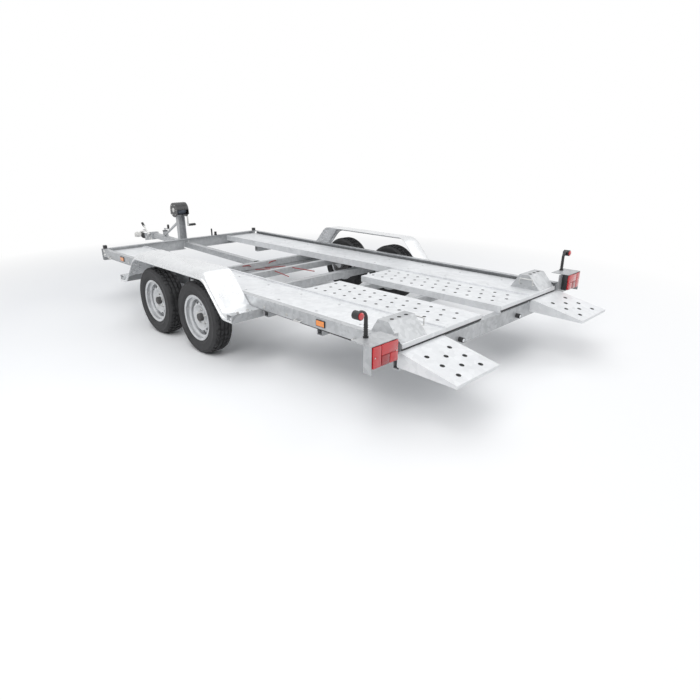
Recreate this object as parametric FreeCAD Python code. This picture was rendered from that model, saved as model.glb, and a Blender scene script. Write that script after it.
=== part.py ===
"""Twin-axle car transporter trailer with a tilting bed.

Units are millimetres. +X points forward to the coupling, +Y to the left, +Z up, and the ground
is z = 0. While a piece is made, x is measured from the middle between the two axles; write()
then moves every piece so that the origin lies under the centre of the whole trailer.
Left-hand pieces are modelled, and right-hand ones are their mirror image.
"""
import FreeCAD, Part
import math
import os

V = FreeCAD.Vector

# ---- driving dimensions: the bed ----
HALF_WIDTH = 1010.0        # centre line to the outer face of a side rail
DECK_FRONT = 1930.0        # front ends of the rails and tracks
DECK_REAR = -2220.0        # rear ends of the rails and tracks
BED_RISE = 230.0           # top of the rails above the wheel centres
RAIL_HEIGHT = 80.0
RAIL_FLANGE = 45.0
RAIL_WALL = 4.0
TRACK_DROP = 30.0          # driving surface below the top of the rails
TRACK_SHEET = 4.0
TRACK_SPAN = 465.0         # rail's outer face to the inner edge of the smooth plank
TRACK_RIDGE_HEIGHT = 12.0
TRACK_RIDGE_WIDTH = 16.0
INNER_PLANK_EDGE = 130.0   # inner edge of the perforated plank
INNER_PLANK_FRONT = -850.0
PLANK_OVERHANG = 100.0     # inner plank's front end ahead of the member under it
PLANK_GAP = 1.0            # between planks lying side by side
MEMBER_HEIGHT = 60.0
MEMBER_WIDTH = 50.0
MEMBER_WALL = 4.0
MEMBER_LAP = 12.0          # how far a cross-member reaches in under the rail
FRONT_BEAM_DEPTH = 45.0
FRONT_BEAM_HEIGHT = 120.0
REAR_BEAM_HEIGHT = 107.0
REAR_BEAM_WIDTH = 50.0
PIVOT_MEMBER_X = 500.0     # cross-member that carries the tilt pivot
MIDDLE_MEMBER_X = 100.0
BEARER_X = 1300.0          # short bearers under the front of the tracks
HOLE_RADIUS = 11.0
HOLE_PITCH_X = 54.0
HOLE_PITCH_Y = 110.0
SLOT_PITCH_X = 420.0       # sparse lashing holes in the smooth planks

# ---- driving dimensions: ramps and guards ----
RAMP_LENGTH = 410.0
RAMP_ROOT_DROP = 70.0      # top of the ramp's root below the top of the rails
RAMP_FALL = 78.0           # tip below root
RAMP_WIDTH = 425.0
RAMP_EDGE = 10.0           # ramp's outer edge inside the rail's outer face
RAMP_SHEET = 5.0
RAMP_ROOT_FLANGE = 90.0
RAMP_TIP_FLANGE = 18.0
RAMP_ROWS = 5
GUARD_HEIGHT = 110.0
GUARD_WIDTH = 245.0
GUARD_SHEET = 4.0
GUARD_LENGTH = 249.0
GUARD_CREST = 80.0
GUARD_SLOPE = 70.0         # length of the guard's front slope
GUARD_SETBACK = 6.0        # from the deck's rear edge

# ---- driving dimensions: running gear ----
WHEELBASE = 700.0
TYRE_RADIUS = 290.0
TYRE_WIDTH = 166.0
RIM_RADIUS = 183.0
BEAD_RADIUS = 168.0
WELL_RADIUS = 150.0
RIM_WALL = 5.0
FLANGE_WALL = 6.0
RIM_WIDTH = 146.0
WHEEL_GAP = 51.0           # rail to the inner face of the tyre
BEAM_SIZE = 70.0           # square torsion-axle tube
ARM_LENGTH = 150.0         # how far the axle tube lies ahead of the wheel centre
AXLE_GAP = 5.0             # between the axle tube and the cross-members above it
PAD_WIDTH = 28.0
ARM_THICKNESS = 33.0
ARM_EYE = 40.0
STUB_RADIUS = 20.0
STUB_LENGTH = 95.0
DRUM_RADIUS = 115.0
DRUM_WIDTH = 60.0
SIDE_CLEARANCE = 5.0       # between a turning piece and a fixed one beside it
RUNNING_CLEARANCE = 0.05   # radial, pins and stubs in their bores

# ---- driving dimensions: fenders ----
FENDER_GAP = 112.0         # above the tyres
FENDER_OVERHANG = 35.0     # outside the tyres
FENDER_SHEET = 4.0
FENDER_CORNER = 225.0      # upper corner beyond a wheel centre
FENDER_FOOT = 165.0        # foot beyond a tyre
FENDER_TAIL = 120.0
FENDER_BEND = 130.0
FENDER_SKIRT = 42.0
FENDER_LAP = 5.0           # gap between the fender and the rail's face
STAY_WIDTH = 60.0
STAY_LAP = 30.0            # how far a stay reaches in under the rail

# ---- driving dimensions: lamps and fittings on the bed ----
LAMP_WIDTH = 215.0
LAMP_HEIGHT = 128.0
LAMP_DEPTH = 52.0
LAMP_SETBACK = 64.0        # lamp face behind the deck's rear edge
LAMP_RISE = 52.0           # lamp's top above the rail's
LAMP_OFFSET = 60.0         # lamp's inner side outside the rail
BRACKET_SHEET = 4.0
BRACKET_DROP = 160.0
ARM_BASE_OUT = 190.0       # marker lamp's arm outside the rail
ARM_BASE_AHEAD = 60.0      # and ahead of the deck's rear edge
ARM_RADIUS = 11.0
HEAD_RADIUS = 24.0
HEAD_OUT = 252.0
HEAD_RISE = 182.0
ARM_TURN = 42.0
REFLECTOR_LENGTH = 74.0
REFLECTOR_HEIGHT = 36.0
REFLECTOR_DEPTH = 8.0
REAR_REFLECTOR = 635.0     # from the deck's rear edge
FRONT_REFLECTOR = 490.0    # from its front edge
PLATE_LAMP_Y = 372.0
PLATE_LAMP_RADIUS = 17.0
PLATE_LAMP_LENGTH = 34.0
PLATE_LAMP_DROP = 68.0     # below the bottom of the rails
FRONT_MARKER = 34.0
POST_Y = -345.0
POST_HEIGHT = 84.0
POST_GAP = 52.0

# ---- driving dimensions: drawbar and its fittings ----
DRAWBAR_SIZE = 60.0
DRAWBAR_WALL = 5.0
DRAWBAR_REACH = 860.0      # ahead of the deck
DRAWBAR_REAR_RISE = 5.0    # its rear end's top above the bottom of the rails
DRAWBAR_SLOPE = 0.024
PIVOT_OFFSET = 50.0        # pivot ahead of its cross-member's front face
PIVOT_TAIL = 30.0          # drawbar behind the pivot
PIVOT_PIN_RADIUS = 10.0
PIVOT_EAR = 8.0
PIVOT_EAR_RADIUS = 26.0
PIVOT_SIDE_GAP = 5.0
NOTCH_GAP = 6.0
CAP_LENGTH = 6.0
HOUSING_LENGTH = 220.0
HOUSING_WIDTH = 96.0
HOUSING_HEIGHT = 92.0
GAITER_LENGTH = 150.0
GAITER_RADIUS = 37.0
NOSE_REACH = 610.0         # foremost point of the coupling, ahead of the drawbar
BALL_RADIUS = 25.0
BALL_CLEARANCE = 0.15
BALL_CENTRE_BACK = 52.0    # ball centre behind the nose
CUP_WALL = 13.0
COUPLING_DROP = 90.0       # coupling axis below the top of the rails
COUPLING_TUBE_RADIUS = 27.0
SOCKET_DEPTH = 30.0
HANDLE_LENGTH = 190.0
HANDLE_WIDTH = 34.0
BRAKE_PIVOT = 60.0         # ahead of the drawbar's end
BRAKE_OFFSET = 14.0        # lever outside the housing
BRAKE_LENGTH = 185.0
BRAKE_LEAN = 40.0
BRAKE_RADIUS = 9.0
WINCH_POST_AHEAD = 85.0    # winch post ahead of the front beam
POST_DEPTH = 56.0
POST_WIDTH = 90.0
WINCH_POST_RISE = 280.0    # its top above the rails
POST_WALL = 5.0
WINCH_WIDTH = 150.0
WINCH_RADIUS = 84.0
WINCH_AXIS_RISE = 52.0     # drum axis above the post
WINCH_SHEET = 4.0
DRUM_CORE = 32.0
BRACE_FOOT_BACK = 110.0    # brace's foot behind the jockey tube
BRACE_TOP_DROP = 65.0      # brace's top below the post's
BRACE_SIZE = 20.0
CRANK_LENGTH = 200.0
CRANK_SHEET = 8.0
CRANK_GRIP = 95.0
CRANK_GRIP_RADIUS = 13.0
JOCKEY_BACK = 140.0        # behind the drawbar's front end
JOCKEY_TUBE_RADIUS = 30.0
JOCKEY_LEG_RADIUS = 24.0
JOCKEY_CLAMP_GAP = 14.0
JOCKEY_TUBE_RISE = 25.0    # tube's top above the rails
JOCKEY_TUBE_CLEAR = 62.0   # tube's lower end above the wheel
JOCKEY_LEG_CLEAR = 22.0    # leg's lower end above the wheel
JOCKEY_WHEEL_RADIUS = 100.0
JOCKEY_WHEEL_WIDTH = 52.0
JOCKEY_TRAIL = 48.0
JOCKEY_PIN_RADIUS = 8.0
JOCKEY_FORK_SHEET = 5.0
JOCKEY_SWIVEL_RADIUS = 12.0
JOCKEY_SWIVEL_DEPTH = 26.0
JOCKEY_SWIVEL_GAP = 1.0
JOCKEY_CRANK = 110.0

# ---- worked-out heights ----
RAIL_TOP = TYRE_RADIUS + BED_RISE
RAIL_BOTTOM = RAIL_TOP - RAIL_HEIGHT
TRACK_TOP = RAIL_TOP - TRACK_DROP
MEMBER_BOTTOM = RAIL_BOTTOM - MEMBER_HEIGHT
AXLE_TUBE_Z = MEMBER_BOTTOM - AXLE_GAP - BEAM_SIZE / 2
RAMP_ROOT_TOP = RAIL_TOP - RAMP_ROOT_DROP
RAMP_TIP_TOP = RAMP_ROOT_TOP - RAMP_FALL
GUARD_TOP = TRACK_TOP + GUARD_HEIGHT
FENDER_TOP = 2 * TYRE_RADIUS + FENDER_GAP
LAMP_TOP = RAIL_TOP + LAMP_RISE
BRACKET_TOP = LAMP_TOP + BRACKET_SHEET
HEAD_Z = RAIL_TOP + HEAD_RISE
PLATE_LAMP_Z = RAIL_BOTTOM - PLATE_LAMP_DROP
COUPLING_AXIS_Z = RAIL_TOP - COUPLING_DROP
POST_TOP = RAIL_TOP + WINCH_POST_RISE
WINCH_AXIS_Z = POST_TOP + WINCH_AXIS_RISE
BRACE_TOP_Z = POST_TOP - BRACE_TOP_DROP
JOCKEY_TUBE_TOP = RAIL_TOP + JOCKEY_TUBE_RISE
JOCKEY_TUBE_BOTTOM = 2 * JOCKEY_WHEEL_RADIUS + JOCKEY_TUBE_CLEAR
JOCKEY_LEG_BOTTOM = 2 * JOCKEY_WHEEL_RADIUS + JOCKEY_LEG_CLEAR

# ---- worked-out places across the trailer ----
RAIL_INNER_Y = HALF_WIDTH - RAIL_FLANGE
MEMBER_END_Y = RAIL_INNER_Y + MEMBER_LAP
TRACK_INNER_EDGE = HALF_WIDTH - TRACK_SPAN
RAMP_OUTER_Y = HALF_WIDTH - RAMP_EDGE
TYRE_INNER_Y = HALF_WIDTH + WHEEL_GAP
TYRE_MIDDLE_Y = TYRE_INNER_Y + TYRE_WIDTH / 2
ARM_INNER_Y = HALF_WIDTH + 2
ARM_OUTER_Y = ARM_INNER_Y + ARM_THICKNESS
DRUM_INNER_Y = ARM_OUTER_Y + SIDE_CLEARANCE
FENDER_OUTER_Y = TYRE_INNER_Y + TYRE_WIDTH + FENDER_OVERHANG
LAMP_INNER_Y = HALF_WIDTH + LAMP_OFFSET
ARM_BASE_Y = HALF_WIDTH + ARM_BASE_OUT
HEAD_Y = HALF_WIDTH + HEAD_OUT
BRAKE_Y = HOUSING_WIDTH / 2 + BRAKE_OFFSET
JOCKEY_Y = -(DRAWBAR_SIZE / 2 + JOCKEY_CLAMP_GAP + JOCKEY_TUBE_RADIUS)

# ---- worked-out places along the trailer ----
DECK_LENGTH = DECK_FRONT - DECK_REAR
AXLE_XS = {"front": WHEELBASE / 2, "rear": -WHEELBASE / 2}
REAR_MEMBER_XS = (INNER_PLANK_FRONT - PLANK_OVERHANG, (INNER_PLANK_FRONT + DECK_REAR) / 2)
RAMP_TIP_X = DECK_REAR - RAMP_LENGTH
GUARD_REAR = DECK_REAR + GUARD_SETBACK
GUARD_FRONT = GUARD_REAR + GUARD_LENGTH
FENDER_CORNER_X = WHEELBASE / 2 + FENDER_CORNER
FENDER_FOOT_X = WHEELBASE / 2 + TYRE_RADIUS + FENDER_FOOT
LAMP_FACE_X = DECK_REAR - LAMP_SETBACK
ARM_BASE_X = DECK_REAR + ARM_BASE_AHEAD
REFLECTOR_XS = (DECK_REAR + REAR_REFLECTOR, DECK_FRONT - FRONT_REFLECTOR)
PIVOT_X = PIVOT_MEMBER_X + MEMBER_WIDTH / 2 + PIVOT_OFFSET
DRAWBAR_REAR = PIVOT_X - PIVOT_TAIL
DRAWBAR_REAR_TOP = RAIL_BOTTOM + DRAWBAR_REAR_RISE
DRAWBAR_FRONT = DECK_FRONT + DRAWBAR_REACH
POST_X = DECK_FRONT + FRONT_BEAM_DEPTH + WINCH_POST_AHEAD
JOCKEY_X = DRAWBAR_FRONT - JOCKEY_BACK
BRACE_FOOT_X = JOCKEY_X - BRACE_FOOT_BACK
BRAKE_PIVOT_X = DRAWBAR_FRONT + BRAKE_PIVOT
HOUSING_FRONT = DRAWBAR_FRONT + HOUSING_LENGTH
GAITER_FRONT = HOUSING_FRONT + GAITER_LENGTH
NOSE_X = DRAWBAR_FRONT + NOSE_REACH
BALL_X = NOSE_X - BALL_CENTRE_BACK
ORIGIN_SHIFT = -(NOSE_X + RAMP_TIP_X) / 2


def drawbar_top(x):
    """Height of the drawbar's upper face, which rises gently forward."""
    return DRAWBAR_REAR_TOP + (x - DRAWBAR_REAR) * DRAWBAR_SLOPE


PIVOT_Z = drawbar_top(PIVOT_X) - DRAWBAR_SIZE / 2


# ---- shape helpers ----
def box(x1, x2, y1, y2, z1, z2):
    """Box between two opposite corners."""
    return Part.makeBox(x2 - x1, y2 - y1, z2 - z1, V(x1, y1, z1))


def rod(start, end, radius):
    """Round bar between two points."""
    run = end - start
    return Part.makeCylinder(radius, run.Length, start, run)


def prism_xz(points, y1, y2):
    """Closed outline in the x-z plane, extruded from y1 to y2."""
    corners = [V(x, y1, z) for x, z in points]
    face = Part.Face(Part.makePolygon(corners + corners[:1]))
    return face.extrude(V(0, y2 - y1, 0))


def prism_yz(points, x1, x2):
    """Closed outline in the y-z plane, extruded from x1 to x2."""
    corners = [V(x1, y, z) for y, z in points]
    face = Part.Face(Part.makePolygon(corners + corners[:1]))
    return face.extrude(V(x2 - x1, 0, 0))


def turned(points, x, z):
    """Outline of (y, radius) points turned about the axle line through x, z."""
    corners = [V(x, y, z + r) for y, r in points]
    face = Part.Face(Part.makePolygon(corners + corners[:1]))
    return face.revolve(V(x, 0, z), V(0, 1, 0), 360)


def mirrored(shape):
    """The same piece on the other side of the trailer."""
    return shape.mirror(V(0, 0, 0), V(0, 1, 0))


def joined(shapes):
    """One solid from shapes that touch or overlap."""
    result = shapes[0].fuse(shapes[1:]) if len(shapes) > 1 else shapes[0]
    return result.removeSplitter()


def write(name, shape):
    """Move a finished piece to the trailer's frame and save it."""
    placed = shape.copy()
    placed.translate(V(ORIGIN_SHIFT, 0, 0))
    placed.exportStep("parts/%s.step" % name)


def write_pair(name, left):
    """Save a left-hand piece and its mirror image."""
    write(name + "_left", left)
    write(name + "_right", mirrored(left))


# ---- bed ----
def channel_yz(outer, inner, top, bottom, wall, x1, x2):
    """Channel along x with its web at y = outer and its flanges reaching to y = inner."""
    web = outer - wall
    outline = [(outer, bottom), (outer, top), (inner, top), (inner, top - wall),
               (web, top - wall), (web, bottom + wall), (inner, bottom + wall), (inner, bottom)]
    return prism_yz(outline, x1, x2)


def side_rail():
    return channel_yz(HALF_WIDTH, RAIL_INNER_Y, RAIL_TOP, RAIL_BOTTOM, RAIL_WALL,
                      DECK_REAR, DECK_FRONT)


def square_member(x, top, width, height, half_length):
    """Closed square tube lying across the trailer, centred on x."""
    y = half_length
    outer = box(x - width / 2, x + width / 2, -y, y, top - height, top)
    hollow = box(x - width / 2 + MEMBER_WALL, x + width / 2 - MEMBER_WALL, -y, y,
                 top - height + MEMBER_WALL, top - MEMBER_WALL)
    return outer.cut(hollow)


def cross_member(x):
    return square_member(x, RAIL_BOTTOM, MEMBER_WIDTH, MEMBER_HEIGHT, MEMBER_END_Y)


def rear_beam():
    x = DECK_REAR + REAR_BEAM_WIDTH / 2
    return square_member(x, RAIL_BOTTOM, REAR_BEAM_WIDTH, REAR_BEAM_HEIGHT, MEMBER_END_Y)


def front_beam():
    """Front channel, open to the rear, notched where the drawbar lies latched."""
    front = DECK_FRONT + FRONT_BEAM_DEPTH
    bottom = RAIL_TOP - FRONT_BEAM_HEIGHT
    web = front - RAIL_WALL
    outline = [(DECK_FRONT, RAIL_TOP), (front, RAIL_TOP), (front, bottom), (DECK_FRONT, bottom),
               (DECK_FRONT, bottom + RAIL_WALL), (web, bottom + RAIL_WALL),
               (web, RAIL_TOP - RAIL_WALL), (DECK_FRONT, RAIL_TOP - RAIL_WALL)]
    beam = prism_xz(outline, -HALF_WIDTH, HALF_WIDTH)
    half_notch = DRAWBAR_SIZE / 2 + NOTCH_GAP
    notch_top = drawbar_top(front) + NOTCH_GAP
    return beam.cut(box(DECK_FRONT - 1, front + 1, -half_notch, half_notch, bottom - 1, notch_top))


def track_bearer():
    """Short tube from under the rail to the inner edge of the smooth plank."""
    x1 = BEARER_X - MEMBER_WIDTH / 2
    x2 = BEARER_X + MEMBER_WIDTH / 2
    outer = box(x1, x2, TRACK_INNER_EDGE, MEMBER_END_Y, RAIL_BOTTOM - MEMBER_HEIGHT, RAIL_BOTTOM)
    hollow = box(x1 + MEMBER_WALL, x2 - MEMBER_WALL, TRACK_INNER_EDGE, MEMBER_END_Y,
                 RAIL_BOTTOM - MEMBER_HEIGHT + MEMBER_WALL, RAIL_BOTTOM - MEMBER_WALL)
    return outer.cut(hollow)


def plank(inner, outer, x1, x2):
    """Folded sheet plank: a flat top with a flange down each long side."""
    inside_top = TRACK_TOP - TRACK_SHEET
    outline = [(inner, RAIL_BOTTOM), (inner, TRACK_TOP), (outer, TRACK_TOP), (outer, RAIL_BOTTOM),
               (outer - TRACK_SHEET, RAIL_BOTTOM), (outer - TRACK_SHEET, inside_top),
               (inner + TRACK_SHEET, inside_top), (inner + TRACK_SHEET, RAIL_BOTTOM)]
    return prism_yz(outline, x1, x2)


def drill(x, y, top, bottom):
    return Part.makeCylinder(HOLE_RADIUS, top - bottom, V(x, y, bottom))


def hole_rows(first_x, rows, middle_y):
    """Places of punched holes: two side by side, then one in the middle, and so on."""
    places = []
    for row in range(rows):
        x = first_x - row * HOLE_PITCH_X
        if row % 2 == 0:
            places.append((x, middle_y - HOLE_PITCH_Y))
            places.append((x, middle_y + HOLE_PITCH_Y))
        else:
            places.append((x, middle_y))
    return places


def outer_track():
    """Smooth plank with a raised ridge along its inner edge and a few lashing holes."""
    body = plank(TRACK_INNER_EDGE, RAIL_INNER_Y, DECK_REAR, DECK_FRONT)
    ridge = box(DECK_REAR, DECK_FRONT, TRACK_INNER_EDGE, TRACK_INNER_EDGE + TRACK_RIDGE_WIDTH,
                TRACK_TOP - 1, TRACK_TOP + TRACK_RIDGE_HEIGHT)
    middle = (TRACK_INNER_EDGE + RAIL_INNER_Y) / 2
    count = int((DECK_LENGTH - SLOT_PITCH_X) / SLOT_PITCH_X)
    holes = []
    for index in range(count):
        x = DECK_REAR + SLOT_PITCH_X * (index + 1)
        for side in (-1, 1):
            y = middle + side * HOLE_PITCH_Y
            holes.append(drill(x, y, TRACK_TOP + 1, TRACK_TOP - TRACK_SHEET - 1))
    return joined([body, ridge]).cut(holes)


def inner_track():
    """Perforated plank beside the smooth one, along the rear half of the bed."""
    outer = TRACK_INNER_EDGE - PLANK_GAP
    body = plank(INNER_PLANK_EDGE, outer, DECK_REAR, INNER_PLANK_FRONT)
    rows = int((INNER_PLANK_FRONT - DECK_REAR) / HOLE_PITCH_X) - 1
    places = hole_rows(INNER_PLANK_FRONT - HOLE_PITCH_X, rows, (INNER_PLANK_EDGE + outer) / 2)
    return body.cut([drill(x, y, TRACK_TOP + 1, TRACK_TOP - TRACK_SHEET - 1) for x, y in places])


def ramp():
    """Short fixed ramp: a sloping sheet with side flanges that taper to its tip."""
    root = DECK_REAR
    inner = RAMP_OUTER_Y - RAMP_WIDTH
    outline = [(root, RAMP_ROOT_TOP), (root - 40, RAMP_ROOT_TOP), (RAMP_TIP_X, RAMP_TIP_TOP),
               (RAMP_TIP_X, RAMP_TIP_TOP - RAMP_TIP_FLANGE),
               (root - 60, RAMP_ROOT_TOP - RAMP_ROOT_FLANGE), (root, RAMP_ROOT_TOP - RAMP_ROOT_FLANGE)]
    solid = prism_xz(outline, inner, RAMP_OUTER_Y)
    below = [(root + 1, RAMP_ROOT_TOP - RAMP_SHEET), (root - 40, RAMP_ROOT_TOP - RAMP_SHEET),
             (RAMP_TIP_X + RAMP_SHEET, RAMP_TIP_TOP - RAMP_SHEET),
             (RAMP_TIP_X + RAMP_SHEET, RAMP_TIP_TOP - RAMP_ROOT_FLANGE),
             (root + 1, RAMP_ROOT_TOP - 2 * RAMP_ROOT_FLANGE)]
    hollow = prism_xz(below, inner + RAMP_SHEET, RAMP_OUTER_Y - RAMP_SHEET)
    places = hole_rows(root - 131, RAMP_ROWS, RAMP_OUTER_Y - RAMP_WIDTH / 2)
    holes = [drill(x, y, RAMP_ROOT_TOP, RAMP_TIP_TOP - RAMP_ROOT_FLANGE) for x, y in places]
    return solid.cut([hollow] + holes)


def ramp_guard():
    """Folded cover over the outer half of the track, ahead of the ramp."""
    inner = RAIL_INNER_Y - GUARD_WIDTH
    crest_front = GUARD_FRONT - GUARD_SLOPE
    crest_rear = crest_front - GUARD_CREST
    outline = [(GUARD_FRONT, TRACK_TOP), (crest_front, GUARD_TOP), (crest_rear, GUARD_TOP),
               (GUARD_REAR, TRACK_TOP)]
    solid = prism_xz(outline, inner, RAIL_INNER_Y)
    step = GUARD_SHEET
    below = [(GUARD_FRONT - 2 * step, TRACK_TOP - 1), (crest_front - step, GUARD_TOP - step),
             (crest_rear + step, GUARD_TOP - step), (GUARD_REAR + 2 * step, TRACK_TOP - 1)]
    return solid.cut(prism_xz(below, inner + step, RAIL_INNER_Y - step))


# ---- running gear ----
def axle(x):
    """Torsion axle: square tube, mounting pads, trailing arms and stub axles."""
    wheel_z = TYRE_RADIUS
    tube_x = x + ARM_LENGTH
    tube_z = AXLE_TUBE_Z
    half = BEAM_SIZE / 2
    shapes = [box(tube_x - half, tube_x + half, -ARM_INNER_Y, ARM_INNER_Y, tube_z - half, tube_z + half)]
    for side in (-1, 1):
        pad = sorted((side * (HALF_WIDTH - PAD_WIDTH), side * HALF_WIDTH))
        shapes.append(box(tube_x - half, tube_x + half, pad[0], pad[1], tube_z + half - 1, RAIL_BOTTOM))
        start = side * (ARM_INNER_Y - 1)
        arm_end = side * ARM_OUTER_Y
        for eye_x, eye_z in ((tube_x, tube_z), (x, wheel_z)):
            shapes.append(rod(V(eye_x, start, eye_z), V(eye_x, arm_end, eye_z), ARM_EYE))
        shapes.append(arm_web(x, tube_x, wheel_z, tube_z, start, arm_end))
        shapes.append(rod(V(x, start, wheel_z), V(x, arm_end + side * STUB_LENGTH, wheel_z), STUB_RADIUS))
    return joined(shapes)


def arm_web(x, tube_x, wheel_z, tube_z, start, end):
    """Straight body of a trailing arm between its two eyes."""
    along = V(tube_x - x, 0, tube_z - wheel_z)
    along.normalize()
    half = ARM_EYE * 0.8
    up = (-along.z * half, along.x * half)
    outline = [(x + up[0], wheel_z + up[1]), (tube_x + up[0], tube_z + up[1]),
               (tube_x - up[0], tube_z - up[1]), (x - up[0], wheel_z - up[1])]
    return prism_xz(outline, start, end)


def tyre(x):
    """Tyre of one wheel on the left, with bulged side walls."""
    middle = TYRE_MIDDLE_Y
    seat = RIM_WIDTH / 2 - FLANGE_WALL
    half = TYRE_WIDTH / 2
    wall_r = (RIM_RADIUS + TYRE_RADIUS) / 2
    shoulder = half - 14
    crown = half - 32

    def at(y, r):
        return V(x, middle + y, TYRE_RADIUS + r)

    edges = [
        Part.makeLine(at(-seat, BEAD_RADIUS), at(seat, BEAD_RADIUS)),
        Part.makeLine(at(seat, BEAD_RADIUS), at(seat, RIM_RADIUS + 3)),
        Part.Arc(at(seat, RIM_RADIUS + 3), at(half, wall_r), at(shoulder, TYRE_RADIUS - 10)).toShape(),
        Part.Arc(at(shoulder, TYRE_RADIUS - 10), at((shoulder + crown) / 2 + 2, TYRE_RADIUS - 3),
                 at(crown, TYRE_RADIUS)).toShape(),
        Part.makeLine(at(crown, TYRE_RADIUS), at(-crown, TYRE_RADIUS)),
        Part.Arc(at(-crown, TYRE_RADIUS), at(-(shoulder + crown) / 2 - 2, TYRE_RADIUS - 3),
                 at(-shoulder, TYRE_RADIUS - 10)).toShape(),
        Part.Arc(at(-shoulder, TYRE_RADIUS - 10), at(-half, wall_r), at(-seat, RIM_RADIUS + 3)).toShape(),
        Part.makeLine(at(-seat, RIM_RADIUS + 3), at(-seat, BEAD_RADIUS)),
    ]
    return Part.Face(Part.Wire(edges)).revolve(V(x, 0, TYRE_RADIUS), V(0, 1, 0), 360)


def rim(x):
    """Pressed steel wheel with its hub and brake drum, on the left."""
    middle = TYRE_MIDDLE_Y
    half = RIM_WIDTH / 2
    seat = half - FLANGE_WALL
    inside = BEAD_RADIUS - RIM_WALL
    well_in = WELL_RADIUS - RIM_WALL
    barrel = [(-half, RIM_RADIUS), (-seat, RIM_RADIUS), (-seat, BEAD_RADIUS), (-20, BEAD_RADIUS),
              (-10, WELL_RADIUS), (30, WELL_RADIUS), (40, BEAD_RADIUS), (seat, BEAD_RADIUS),
              (seat, RIM_RADIUS), (half, RIM_RADIUS), (half, inside), (40 + RIM_WALL, inside),
              (30 + RIM_WALL, well_in), (-10 - RIM_WALL, well_in), (-20 - RIM_WALL, inside),
              (-half, inside)]
    disc = [(0, well_in + 1), (RIM_WALL, well_in + 1), (28, 112), (34, 96), (24, 70), (20, 40),
            (44, 34), (44, 0), (-4, 0), (-4, 60), (18, 78), (28, 96), (22, 108), (-2, 136)]
    drum = [(0, DRUM_RADIUS), (DRUM_WIDTH, DRUM_RADIUS), (DRUM_WIDTH, 0), (0, 0)]
    shapes = [turned([(middle + y, r) for y, r in outline], x, TYRE_RADIUS)
              for outline in (barrel, disc)]
    shapes.append(turned([(DRUM_INNER_Y + y, r) for y, r in drum], x, TYRE_RADIUS))
    hub_end = middle + 10
    shapes.append(rod(V(x, DRUM_INNER_Y + DRUM_WIDTH - 1, TYRE_RADIUS), V(x, hub_end, TYRE_RADIUS), 55))
    bore_end = ARM_OUTER_Y + STUB_LENGTH + SIDE_CLEARANCE
    bore = rod(V(x, DRUM_INNER_Y - 1, TYRE_RADIUS), V(x, bore_end, TYRE_RADIUS),
               STUB_RADIUS + RUNNING_CLEARANCE)
    return joined(shapes).cut(bore)


# ---- fenders ----
def fender_line(inset):
    """Side outline of the fender, moved inwards by inset, from front tail to rear tail."""
    slope = math.atan2(FENDER_TOP - RAIL_BOTTOM - FENDER_SHEET, FENDER_FOOT_X - FENDER_CORNER_X)
    corner = FENDER_CORNER_X - inset * math.tan(slope / 2)
    foot = FENDER_FOOT_X - inset * math.tan(slope / 2)
    top = FENDER_TOP - inset
    low = RAIL_BOTTOM + FENDER_SHEET - inset
    tail = FENDER_FOOT_X + FENDER_TAIL
    return [V(tail, 0, low), V(foot, 0, low), V(corner, 0, top),
            V(-corner, 0, top), V(-foot, 0, low), V(-tail, 0, low)]


def rounded_path(points, radii):
    """Edges through the points, each inner corner rounded with its own radius."""
    edges = []
    start = points[0]
    for index, radius in enumerate(radii, 1):
        corner = points[index]
        back = (points[index - 1] - corner).normalize()
        ahead = (points[index + 1] - corner).normalize()
        half_angle = back.getAngle(ahead) / 2
        reach = radius / math.tan(half_angle)
        arc_start = corner + back * reach
        arc_end = corner + ahead * reach
        centre_way = (back + ahead).normalize()
        middle = corner + centre_way * (radius / math.sin(half_angle) - radius)
        edges.append(Part.makeLine(start, arc_start))
        edges.append(Part.Arc(arc_start, middle, arc_end).toShape())
        start = arc_end
    edges.append(Part.makeLine(start, points[-1]))
    return edges


def fender_band(depth, y1, y2):
    """Band of the fender's outline, depth thick, between y1 and y2."""
    bend, foot = FENDER_BEND, FENDER_BEND / 2
    outer = rounded_path(fender_line(0), [foot, bend, bend, foot])
    inner = rounded_path(fender_line(depth), [foot + depth, bend - depth, bend - depth, foot + depth])
    front = Part.makeLine(inner[0].Vertexes[0].Point, outer[0].Vertexes[0].Point)
    rear = Part.makeLine(outer[-1].Vertexes[-1].Point, inner[-1].Vertexes[-1].Point)
    wire = Part.Wire(Part.__sortEdges__(outer + [rear] + inner + [front]))
    band = Part.Face(wire).extrude(V(0, y2 - y1, 0))
    band.translate(V(0, y1, 0))
    return band


def fender():
    """One-piece tandem fender: an arched sheet with a turned-down outer edge."""
    sheet = fender_band(FENDER_SHEET, HALF_WIDTH + FENDER_LAP, FENDER_OUTER_Y)
    skirt = fender_band(FENDER_SKIRT, FENDER_OUTER_Y - FENDER_SHEET, FENDER_OUTER_Y)
    return joined([sheet, skirt])


def fender_stays():
    """Two channels that run out from under the rail and carry the fender's tails."""
    shapes = []
    outer = FENDER_OUTER_Y - FENDER_SHEET - 2
    inner = HALF_WIDTH - STAY_LAP
    middle = FENDER_FOOT_X + FENDER_TAIL - STAY_WIDTH / 2
    for x in (middle, -middle):
        bar = box(x - STAY_WIDTH / 2, x + STAY_WIDTH / 2, inner, outer,
                  RAIL_BOTTOM - MEMBER_HEIGHT, RAIL_BOTTOM)
        hollow = box(x - STAY_WIDTH / 2 + MEMBER_WALL, x + STAY_WIDTH / 2 - MEMBER_WALL, inner, outer,
                     RAIL_BOTTOM - MEMBER_HEIGHT - 1, RAIL_BOTTOM - MEMBER_WALL)
        shapes.append(bar.cut(hollow))
    return Part.makeCompound(shapes)


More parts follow.
